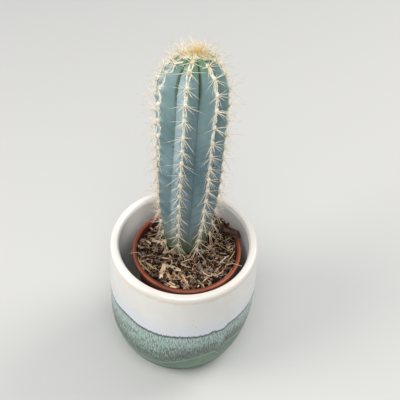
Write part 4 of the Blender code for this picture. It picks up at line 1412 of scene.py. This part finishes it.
def wool_lines(levels):
    """Two cords of wool on each crest, which part between areoles and meet on them: their distance from the
    crest's middle is a half sine of the way from one areole to the next, wide on young growth. Each point is
    on the plain rib at that distance, raised by the areoles' swelling. Returns the cords as points, faces and
    values, and their paths."""
    draw = np.random.default_rng(CORD_SEED)
    heights, lengths = crest_lengths()
    parts = []
    for rib in range(RIBS):
        mine = areoles_of(rib, levels)
        top = mine[-1] + 0.5 * MM if rib in BARE_TIPPED_RIBS else STEM_HEIGHT - 0.9 * MM
        stops = np.concatenate([mine, [top]])
        ends = np.interp([mine[0], top], heights, lengths)
        walk = np.interp(np.linspace(ends[0] + 0.5 * MM, ends[1], CORD_STEPS), lengths, heights)
        place = np.interp(walk, stops, np.arange(len(stops)))
        parting = np.abs(np.sin(np.pi * place)) ** draw.uniform(0.3, 0.9)
        young = rise(walk / STEM_HEIGHT, 0.35, 0.85)
        topmost = rise(walk / STEM_HEIGHT, 0.92, 0.98)
        uneven = 1 + 0.35 * np.sin(walk * 310 + rib * 1.7)
        spread = (0.25 + parting * uneven * (0.15 + 0.45 * young) + 0.3 * topmost * (0.4 + parting)) * MM
        spread = spread * CORD_SPREADS[rib]
        pitch = TAU / RIBS * np.maximum(crest_radius(walk), 2 * MM)
        relief = crest_swelling(walk, mine)
        _, outward, _, side = crest_frames(rib, walk)
        for hand in (-1, 1):
            wander = np.convolve(draw.normal(0, 0.6 * MM, CORD_STEPS), np.ones(11) / 11, "same")
            swell = np.convolve(draw.normal(1.0, 1.5, CORD_STEPS), np.ones(9) / 9, "same")
            position = rib + np.clip((hand * spread + wander) / pitch, -0.4, 0.4)
            path = stem_point(rib_turn(position % RIBS, walk), rib_radius(position, walk), walk)
            path = path + outward * (relief + 0.10 * MM)[:, None]
            width = (0.13 + 0.40 * young + 0.05 * topmost) * MM * np.clip(swell, 0.15, 1.9)
            parts.append((path, width, side, 1 - walk / STEM_HEIGHT))
    paths, widths, sides, age = (np.stack(group) for group in zip(*parts))
    points, faces, _, _ = tubes(paths, widths, widths * 0.8, CORD_SIDES, (0.2 * MM, 0.2 * MM), sides)
    points = points + draw.normal(size=points.shape) * 0.09 * MM
    ages = np.concatenate([np.repeat(age, CORD_SIDES, axis=1), age[:, :1], age[:, -1:]], axis=1).ravel()
    return (points, faces, np.stack([ages * 0.42 + 0.02, np.ones(len(points))], -1)), paths


def crown_point(turn, share, above):
    """A point of the woolly crown: a low oval dome that leans back from the growing point and falls with the
    square of the distance from there. The share runs from 0 in the middle to 1 at its edge."""
    wide, deep = CROWN_CUSHION
    turn, share, above = np.broadcast_arrays(turn, share, above)
    east, north = wide * share * np.sin(turn), -deep * share * np.cos(turn)
    fall = CROWN_DROP * (east**2 + north**2) / CROWN_RADIUS**2
    top = stem_point(0.0, 0.0, STEM_HEIGHT)
    return top + np.stack([east + CROWN_PLACE[0], north + CROWN_PLACE[1], above - fall], -1)


def crown_cushion():
    """The felted growing point: rings of the crown's dome, lobed between the ribs, closed underneath."""
    draw = np.random.default_rng(CUSHION_SEED)
    share = np.linspace(1.0, 0.08, CUSHION_RINGS)[:, None]
    turn = TAU * np.arange(CUSHION_COLUMNS) / CUSHION_COLUMNS
    lumps = 0.45 * MM * np.sin(turn * 8 + 0.6) * share
    lumps = lumps + draw.normal(0, 0.20 * MM, (CUSHION_RINGS, CUSHION_COLUMNS))
    edge = 1 + 0.09 * np.cos(turn * 8 + 0.2)
    top = crown_point(turn, share * edge, 0.1 * MM + 1.1 * MM * (1 - share**2) + lumps)
    low = np.array([[0.2], [0.6], [0.9]])
    under = crown_point(turn, low * edge, -1.1 * MM)
    middle = crown_point(0.0, 0.0, np.array([-1.1 * MM, 1.8 * MM]))
    points, faces = skin(np.concatenate([under, top]), *middle)
    return points, faces, np.tile([-0.45, 0.8], (len(points), 1))


def joined(parts):
    """Points, faces and values of several bodies in one mesh."""
    points, faces, values, start = [], [], [], 0
    for some_points, some_faces, some_values in parts:
        faces.extend(part + start for part in facing_out(some_points, some_faces))
        points.append(some_points)
        values.append(some_values)
        start += len(some_points)
    return np.concatenate(points), faces, np.concatenate(values)


def felt_finish(settings):
    """Pale felt: whiter on young growth and at the top of a pad, tan at its foot, with a fibrous grain."""
    finish = Finish("cream_wool", ior=1.3, specular_ior_level=0.1, sheen_weight=0.3, sheen_roughness=0.6)
    fibrous = finish.noise(0.00035, 0.0009, 4.0, 0.7)
    tufts = finish.noise(0.0016, 0.0016, 2.0)
    age = finish.attribute("age") + (tufts - 0.5) * 0.4
    tones = ((0.0, "F4EDCC"), (0.12, "F2F3E8"), (0.35, "EFE8D6"), (1.0, settings.old_wool))
    low = (finish.attribute("along") + (tufts - 0.5) * 0.6).rise(0.55, 0.1)
    tone = finish.layered(
        finish.ramp(age, tones),
        (low * 0.65, "BE9474"),
        (fibrous.rise(0.55, 0.3) * 0.30, "B79E7C"),
    )
    relief = finish.bump(fibrous * 1.4 + tufts, 0.0004, 1.0)
    return finish.wear(base_color=tone, roughness=0.95, normal=relief)


def tapering(draw, root, direction, length, radius, curve, profile, sides, tip):
    """Tapering tubes: the root, plus the direction times the share of the length, plus the curve's part of
    the length to a random side times the square of the share. Returns the points, the faces, and for every
    point its share and its tube's number."""
    share, taper = np.array(profile).T
    bow = unit(np.cross(direction, random_ways(draw, len(length), 1.0))) * (curve * length)[:, None]
    paths = (
        root[:, None]
        + direction[:, None] * share[:, None] * length[:, None, None]
        + bow[:, None] * (share**2)[:, None]
    )
    radii = radius[:, None] * taper
    points, faces, _, number = tubes(paths, radii, radii, sides, (0.0, tip))
    along = np.concatenate([np.repeat(share, sides), [0, 1]])
    return points, faces, np.tile(along, len(length)), number


def wool_hairs(levels, cords, count):
    """Loose wool on the pads, along the paths of the cords and over the crown, standing off at random."""
    draw = np.random.default_rng(HAIR_SEED)
    rib, height, age = all_areoles(levels)
    pick = draw.integers(0, len(rib), count)
    place, outward, up, side = crest_frames(rib[pick], height[pick])
    jitter = draw.uniform(-1, 1, (count, 2)) * MM
    on_pads = place + side * jitter[:, :1] + up * jitter[:, 1:] * 1.9 + outward * 0.6 * MM
    ways = unit(outward * 0.4 + up * 0.3 + draw.normal(size=(count, 3)) * 0.8)
    some = count // 2
    cord = draw.integers(0, len(cords), some)
    step = draw.integers(2, CORD_STEPS - 2, some)
    on_cords = cords[cord, step]
    walk = unit(cords[cord, step + 1] - cords[cord, step - 1])
    cord_ways = unit(walk * draw.choice([-1, 1], (some, 1)) + draw.normal(size=(some, 3)) * 0.35)
    cord_age = 0.5 - 0.5 * (on_cords[:, 2] - STEM_ORIGIN) / STEM_HEIGHT
    tops = count // 4
    share = np.sqrt(draw.uniform(0, 1, tops))
    on_crown = crown_point(draw.uniform(0, TAU, tops), share, 0.2 * MM + 1.4 * MM * (1 - share**2))
    crown_ways = unit(random_ways(draw, tops, 0.5) + [0, 0, 0.6])
    root = np.concatenate([on_pads, on_cords, on_crown])
    direction = np.concatenate([ways, cord_ways, crown_ways])
    total = len(root)
    length = draw.uniform(0.7, 1.8, total) * MM
    length[count:count + some] *= 1.7
    radius = draw.uniform(0.04, 0.07, total) * MM
    curve = draw.uniform(0.1, 0.7, total)
    shape = tapering(draw, root, direction, length, radius, curve, HAIR, HAIR_SIDES, 0.1 * MM)
    points, faces, along, number = shape
    ages = np.concatenate([age[pick], cord_age, np.zeros(tops)])
    return mesh_of("wool_hairs", points, faces, {"age": ages[number], "along": along})


def clear_of_soil(root, direction, length):
    """The directions, turned up until the tips stay above the soil."""
    for _ in range(TURN_UP_ROUNDS):
        tip = root + direction * length[:, None]
        low = tip[:, 2] < ground(tip[:, 0], tip[:, 1]) + SPINE_CLEARANCE
        direction = unit(direction + low[:, None] * 0.06 * UP)
    return direction


def needles(draw, root, direction, length, radius, curve):
    """Spines: tapering tubes with a swollen root and a slight curve."""
    return tapering(draw, root, direction, length, radius, curve, NEEDLE, NEEDLE_SIDES, 0.15 * MM)


def areole_spines(levels, settings):
    """Radial and central spines of every areole: hanging near the foot, standing out near the top."""
    draw = np.random.default_rng(SPINE_SEED)
    rib, height, age = all_areoles(levels)
    count = len(rib)
    place, outward, up, side = crest_frames(rib, height)
    hang = np.clip((HANGING_FROM - height / STEM_HEIGHT) / (HANGING_FROM - HANGING_AT), 0, 1)
    root = place + outward * 0.6 * MM - up * 0.4 * MM
    full = settings.spine_length * (1 + 0.10 * hang)
    slim = 1 - 0.25 * hang
    parts = []
    for at_top, at_foot, share in zip(RADIALS_AT_TOP, RADIALS_AT_FOOT, RADIAL_SHARES):
        turn = np.radians(blend(at_top, at_foot, hang) + draw.uniform(*RADIAL_TURNS, count))[:, None]
        lift = np.radians(RADIAL_LIFT + draw.uniform(*RADIAL_LIFTS, count))[:, None]
        flat = up * np.cos(turn) + side * np.sin(turn)
        direction = flat * np.cos(lift) + outward * np.sin(lift)
        length = full * share * draw.uniform(*RADIAL_LENGTHS, count)
        radius = draw.uniform(*RADIAL_RADII, count) * slim
        parts.append((root + direction * 0.4 * MM, direction, length, radius, age))
    for k in range(CENTRALS):
        lift = np.radians(CENTRAL_LIFT - CENTRAL_DROOP * hang + draw.uniform(*CENTRAL_LIFTS, count))[:, None]
        aside = side * draw.uniform(*CENTRAL_SIDES, (count, 1))
        direction = unit(outward * np.cos(lift) + up * np.sin(lift) + aside)
        length = full * (1.0 - 0.15 * k) * draw.uniform(*CENTRAL_LENGTHS, count)
        radius = draw.uniform(*CENTRAL_RADII, count) * slim
        parts.append((root, direction, length, radius, age))
    root, direction, length, radius, age = (np.concatenate(group) for group in zip(*parts))
    direction = clear_of_soil(root, direction, length)
    curve = draw.uniform(0, 0.10, len(length))
    points, faces, along, number = needles(draw, root, direction, length, radius, curve)
    return mesh_of("spines", points, faces, {"along": along, "age": age[number]})


def crown_bristles(count):
    """Spines of the youngest areoles, spread by the golden angle. Of every three, one is in a narrow upright
    golden tuft, one in a looser ring round it, and one anywhere on the crown, leaning out with its
    distance."""
    draw = np.random.default_rng(BRISTLE_SEED)
    k = np.arange(count)
    share = np.sqrt((k + 0.5) / count)
    turn = k * math.pi * (3 - math.sqrt(5))
    away = np.stack([np.sin(turn), -np.cos(turn), 0 * turn], -1)
    kind = k % len(BRISTLES)
    reach, upright, leaning, length, gold = np.array(BRISTLES)[kind].T
    reach = reach * share
    root = crown_point(turn, reach, 0.6 * MM * (1 - reach**2)) + (kind < 2)[:, None] * np.array(TUFT_SHIFT)
    lean = np.radians(upright + leaning * share + draw.uniform(-8, 8, count))[:, None]
    direction = unit(away * np.sin(lean) + UP * np.cos(lean) + draw.normal(size=(count, 3)) * 0.08)
    length = length * draw.uniform(0.7, 1.05, count) * MM
    radius = draw.uniform(0.12, 0.18, count) * MM
    curve = draw.uniform(0, 0.08, count)
    points, faces, along, number = needles(draw, root, direction, length, radius, curve)
    tone = np.clip(gold + draw.normal(0, 0.2, count), 0, 1)[number]
    return mesh_of("crown_bristles", points, faces, {"along": along, "tone": tone})


def spine_finish(settings):
    """Pale cream needles with a tan root and an amber tip, browner on the older growth."""
    finish = Finish("cream_spines", ior=1.45, specular_ior_level=0.45)
    tones = ((0.0, "B58A68"), (0.15, settings.spine), (0.65, "F1E6D0"), (1.0, "C1935F"))
    tone = finish.ramp(finish.attribute("along"), tones)
    old = finish.attribute("age").rise(0.2, 0.9)
    return finish.wear(base_color=finish.mix(old * 0.4, tone, "CBB08E"), roughness=0.42)


def bristle_finish():
    """Bristles, golden in the tuft and cream round it, orange-brown at the root, which is painted paler as
    painted light against the shade among them.
    """
    finish = Finish("golden_bristles", ior=1.45, specular_ior_level=0.4)
    along = finish.attribute("along")
    # The roots are painted paler, as painted light against the shade among the bristles
    golden = finish.ramp(along, ((0.0, "FAEBC6"), (0.3, "F8D98F"), (0.6, "F9DF9C"), (1.0, "FBEFCC")))
    cream = finish.ramp(along, ((0.0, "D6AD72"), (0.25, "DFC791"), (0.7, "D2B685"), (1.0, "A8794A")))
    return finish.wear(base_color=finish.mix(finish.attribute("tone"), cream, golden), roughness=0.40)


def hair_finish():
    """Loose wool, whitest just under the crown and creamier with age."""
    finish = Finish("loose_wool", ior=1.3, specular_ior_level=0.15, sheen_weight=0.3, sheen_roughness=0.6)
    tones = ((0.0, "F6F0D0"), (0.12, "F3F3E6"), (1.0, "DECDAE"))
    return finish.wear(base_color=finish.ramp(finish.attribute("age"), tones), roughness=0.85)


def soft_light(name, place, power, tint):
    """A round lamp turned to the plant."""
    lamp = bpy.data.lights.new(name, "AREA")
    lamp.shape = "DISK"
    lamp.size = LAMP_SIZE
    lamp.energy = power
    lamp.color = tint
    obj = bpy.data.objects.new(name, lamp)
    bpy.context.scene.collection.objects.link(obj)
    obj.location = place
    away = Vector(place) - Vector(LAMP_TARGET)
    obj.rotation_euler = away.to_track_quat("Z", "Y").to_euler()


def tone_property(name, description, code):
    """A colour that the user can change, given as an sRGB code."""
    return bpy.props.FloatVectorProperty(
        name=name, description=description, subtype="COLOR", size=3, min=0, max=1, default=colour(code)
    )


def length_property(name, description, default):
    """A length that the user can change, in metres."""
    return bpy.props.FloatProperty(name=name, description=description, unit="LENGTH", default=default)


def count_property(name, description, default):
    """A number of like pieces that the user can change."""
    return bpy.props.IntProperty(name=name, description=description, min=1, default=default)


class CoverPotSettings(bpy.types.PropertyGroup):
    radius: length_property("Radius", "Widest radius of the belly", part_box("cover_pot")[1].x)
    height: length_property("Height", "Height of the lip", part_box("cover_pot")[1].z)
    line_height: length_property("Line height", "Height at which the two glazes meet", 71.3 * MM)
    white: tone_property("White", "Upper glaze", "DDDBD5")
    white_by_line: tone_property("White by the line", "Upper glaze where it thins", "D3D8DF")
    line_colour: tone_property("Line", "Dark line between the glazes", "182236")
    seafoam_light: tone_property("Light seafoam", "Lower glaze near the line", "A3B9B1")
    seafoam: tone_property("Seafoam", "Lower glaze towards the foot", "72877B")
    speckle: tone_property("Speckle", "Dark dashes of the lower glaze", "3C4A43")
    sage: tone_property("Sage", "Smooth band above the foot", "3E6049")


class NurseryPotSettings(bpy.types.PropertyGroup):
    radius: length_property(
        "Radius", "Radius of the rim", (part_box("nursery_pot")[1].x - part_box("nursery_pot")[0].x) / 2
    )
    top: length_property("Top", "Height of the rim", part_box("nursery_pot")[1].z)
    plastic: tone_property("Plastic", "Terracotta-coloured plastic", "9A4C30")
    plastic_light: tone_property("Light plastic", "Its paler patches", "AD5F42")


class SoilSettings(bpy.types.PropertyGroup):
    crumbs: count_property("Crumbs", "Number of peat crumbs", 3600)
    chips: count_property("Chips", "Number of small bark chips", 560)
    fibres: count_property("Fibres", "Number of root fibres", 520)
    spill: count_property("Spill", "Crumbs of the heap on the nursery pot's rim", 46)
    peat: tone_property("Peat", "Ground between the crumbs", "2A1B13")


class CactusSettings(bpy.types.PropertyGroup):
    spine_length: length_property("Spine length", "Length of the longest radial spines", 11.8 * MM)
    hairs: count_property("Hairs", "Loose wool hairs on the pads", 3400)
    bristles: count_property("Bristles", "Golden spines of the crown", 100)
    skin: tone_property("Skin", "Blue-green of the stem", "557078")
    bloom: tone_property("Bloom", "Powdery bloom on the stem", "7C949C")
    green: tone_property("Green", "Foot and valleys of the stem", "4C5C38")
    young: tone_property("Young", "Skin of the crown", "527F50")
    valley: tone_property("Valley", "Bottom of the valleys", "1C3422")
    old_wool: tone_property("Old wool", "Felt of the lowest areoles", "D5C4AC")
    spine: tone_property("Spine", "Lower half of a spine", "EFE3CA")


class StageSettings(bpy.types.PropertyGroup):
    floor: tone_property("Floor", "Plain floor", "C9C8C5")
    key_power: bpy.props.FloatProperty(
        name="Key light", description="Power of the light from the left", unit="POWER", default=9.9
    )
    sky: bpy.props.FloatProperty(name="Sky", description="Strength of the light all round", default=0.44)


class CACTUS_OT_cover_pot(bpy.types.Operator):
    """Turns the glazed cover pot"""

    bl_idname = "cactus.cover_pot"
    bl_label = "Cover Pot"

    def execute(self, context):
        settings = context.scene.cactus_cover_pot
        points, faces, inner = cover_skin(settings)
        mesh = mesh_of("glazed_cover_pot", points, faces, {"inner": inner})
        place_piece(mesh, glaze_finish(settings), "cover_pot")
        return {"FINISHED"}


class CACTUS_OT_nursery_pot(bpy.types.Operator):
    """Turns the plastic nursery pot and drills its drain holes"""

    bl_idname = "cactus.nursery_pot"
    bl_label = "Nursery Pot"

    def execute(self, context):
        settings = context.scene.cactus_nursery_pot
        rings, poles = revolved(nursery_outline(settings), NURSERY_SEGMENTS, NURSERY_CENTRE)
        points, faces = skin(rings, *poles)
        mesh = with_drain_holes(mesh_of("undrilled_pot", points, faces), "plastic_nursery_pot")
        place_piece(mesh, plastic_finish(settings), "nursery_pot")
        return {"FINISHED"}


class CACTUS_OT_soil(bpy.types.Operator):
    """Fills the nursery pot with peat, bark, straws and fibres"""

    bl_idname = "cactus.soil"
    bl_label = "Potting Mix"

    def execute(self, context):
        settings = context.scene.cactus_soil
        bark_finish = wood_finish("bark", BARK_TONES)
        dark_finish = wood_finish("dark_bark", BARK_TONES, weathering=0.08)
        straw_finish = wood_finish("straw", STRAW_TONES)
        pieces = (
            (soil_bed(), bed_finish(settings)),
            (peat_crumbs(settings.crumbs), crumb_finish()),
            (bark_chips(settings.chips), bark_finish),
            (large_flakes(), bark_finish),
            (rim_chunk(), dark_finish),
            (rim_spill(settings.spill), dark_finish),
            (straws(), straw_finish),
            (fibres(settings.fibres), straw_finish),
        )
        for mesh, finish in pieces:
            place_piece(mesh, finish, "soil")
        return {"FINISHED"}


class CACTUS_OT_stem(bpy.types.Operator):
    """Grows the ribbed stem"""

    bl_idname = "cactus.stem"
    bl_label = "Stem"

    def execute(self, context):
        mesh = stem_skin(station_heights())
        place_piece(mesh, skin_finish(context.scene.cactus_plant), "cactus_stem")
        return {"FINISHED"}


class CACTUS_OT_wool(bpy.types.Operator):
    """Lays felt pads, cords of wool and loose hairs on the crests and the crown"""

    bl_idname = "cactus.wool"
    bl_label = "Wool"

    def execute(self, context):
        settings = context.scene.cactus_plant
        levels = station_heights()
        cords, paths = wool_lines(levels)
        points, faces, values = joined([areole_pads(levels), cords, crown_cushion()])
        felt = mesh_of("areole_felt", points, faces, {"age": values[:, 0], "along": values[:, 1]})
        loose = wool_hairs(levels, paths, settings.hairs)
        place_piece(felt, felt_finish(settings), "wool_and_spines")
        place_piece(loose, hair_finish(), "wool_and_spines")
        return {"FINISHED"}


class CACTUS_OT_spines(bpy.types.Operator):
    """Grows the spines of the areoles and the golden bristles of the crown"""

    bl_idname = "cactus.spines"
    bl_label = "Spines"

    def execute(self, context):
        settings = context.scene.cactus_plant
        spines = areole_spines(station_heights(), settings)
        place_piece(spines, spine_finish(settings), "wool_and_spines")
        bristles = crown_bristles(settings.bristles)
        place_piece(bristles, bristle_finish(), "wool_and_spines")
        return {"FINISHED"}


class CACTUS_OT_stage(bpy.types.Operator):
    """Sets the floor, the lights and the camera"""

    bl_idname = "cactus.stage"
    bl_label = "Stage"

    def execute(self, context):
        settings = context.scene.cactus_stage
        finish = Finish("plain_floor", roughness=0.9)
        finish.wear(base_color=tuple(settings.floor))
        corners = [(x * FLOOR_REACH, y * FLOOR_REACH, 0) for x, y in ((-1, -1), (1, -1), (1, 1), (-1, 1))]
        mesh = bpy.data.meshes.new("floor")
        mesh.from_pydata(corners, [], [(0, 1, 2, 3)])
        mesh.materials.append(finish.material)
        floor = bpy.data.objects.new("floor", mesh)
        context.scene.collection.objects.link(floor)
        for name, place, share, tint in LAMPS:
            soft_light(name, place, settings.key_power * share, tint)
        world = bpy.data.worlds.new("studio")
        world.use_nodes = True
        background = world.node_tree.nodes["Background"]
        background.inputs["Color"].default_value = (*SKY_TINT, 1)
        background.inputs["Strength"].default_value = settings.sky
        context.scene.world = world
        context.scene.view_settings.view_transform = "Standard"
        lens = bpy.data.cameras.new("camera")
        lens.lens = CAMERA_LENS
        lens.sensor_width = CAMERA_SENSOR
        camera = bpy.data.objects.new("camera", lens)
        context.scene.collection.objects.link(camera)
        camera.matrix_world = camera_matrix()
        context.scene.camera = camera
        return {"FINISHED"}


class CACTUS_PT_panel(bpy.types.Panel):
    """Lists the cactus's pieces and what can be changed on them"""

    bl_idname = "CACTUS_PT_panel"
    bl_label = "Potted Torch Cactus"
    bl_space_type = "VIEW_3D"
    bl_region_type = "UI"
    bl_category = "Cactus"

    def draw(self, context):
        for group, _, operators in SETTINGS:
            settings = getattr(context.scene, group)
            box = self.layout.box()
            for name in settings.bl_rna.properties.keys():
                if name not in ("rna_type", "name"):
                    box.prop(settings, name)
            for operator in operators:
                box.operator(operator.bl_idname)


SETTINGS = (
    ("cactus_stage", StageSettings, (CACTUS_OT_stage,)),
    ("cactus_cover_pot", CoverPotSettings, (CACTUS_OT_cover_pot,)),
    ("cactus_nursery_pot", NurseryPotSettings, (CACTUS_OT_nursery_pot,)),
    ("cactus_soil", SoilSettings, (CACTUS_OT_soil,)),
    ("cactus_plant", CactusSettings, (CACTUS_OT_stem, CACTUS_OT_wool, CACTUS_OT_spines)),
)


def register():
    """Registers every class and puts the groups of settings on the scene."""
    for group, settings, operators in SETTINGS:
        for made in (settings, *operators):
            bpy.utils.register_class(made)
        setattr(bpy.types.Scene, group, bpy.props.PointerProperty(type=settings))
    bpy.utils.register_class(CACTUS_PT_panel)


def unregister():
    """Takes the same off again, in the reverse order."""
    bpy.utils.unregister_class(CACTUS_PT_panel)
    for group, settings, operators in reversed(SETTINGS):
        delattr(bpy.types.Scene, group)
        for made in (*operators, settings):
            bpy.utils.unregister_class(made)


def main():
    """Clears the start scene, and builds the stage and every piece."""
    register()
    for obj in list(bpy.data.objects):
        if obj.name in ("Cube", "Light", "Camera"):
            bpy.data.objects.remove(obj)
    bpy.ops.cactus.stage()
    bpy.ops.cactus.cover_pot()
    bpy.ops.cactus.nursery_pot()
    bpy.ops.cactus.soil()
    bpy.ops.cactus.stem()
    bpy.ops.cactus.wool()
    bpy.ops.cactus.spines()


if __name__ == "__main__":
    main()
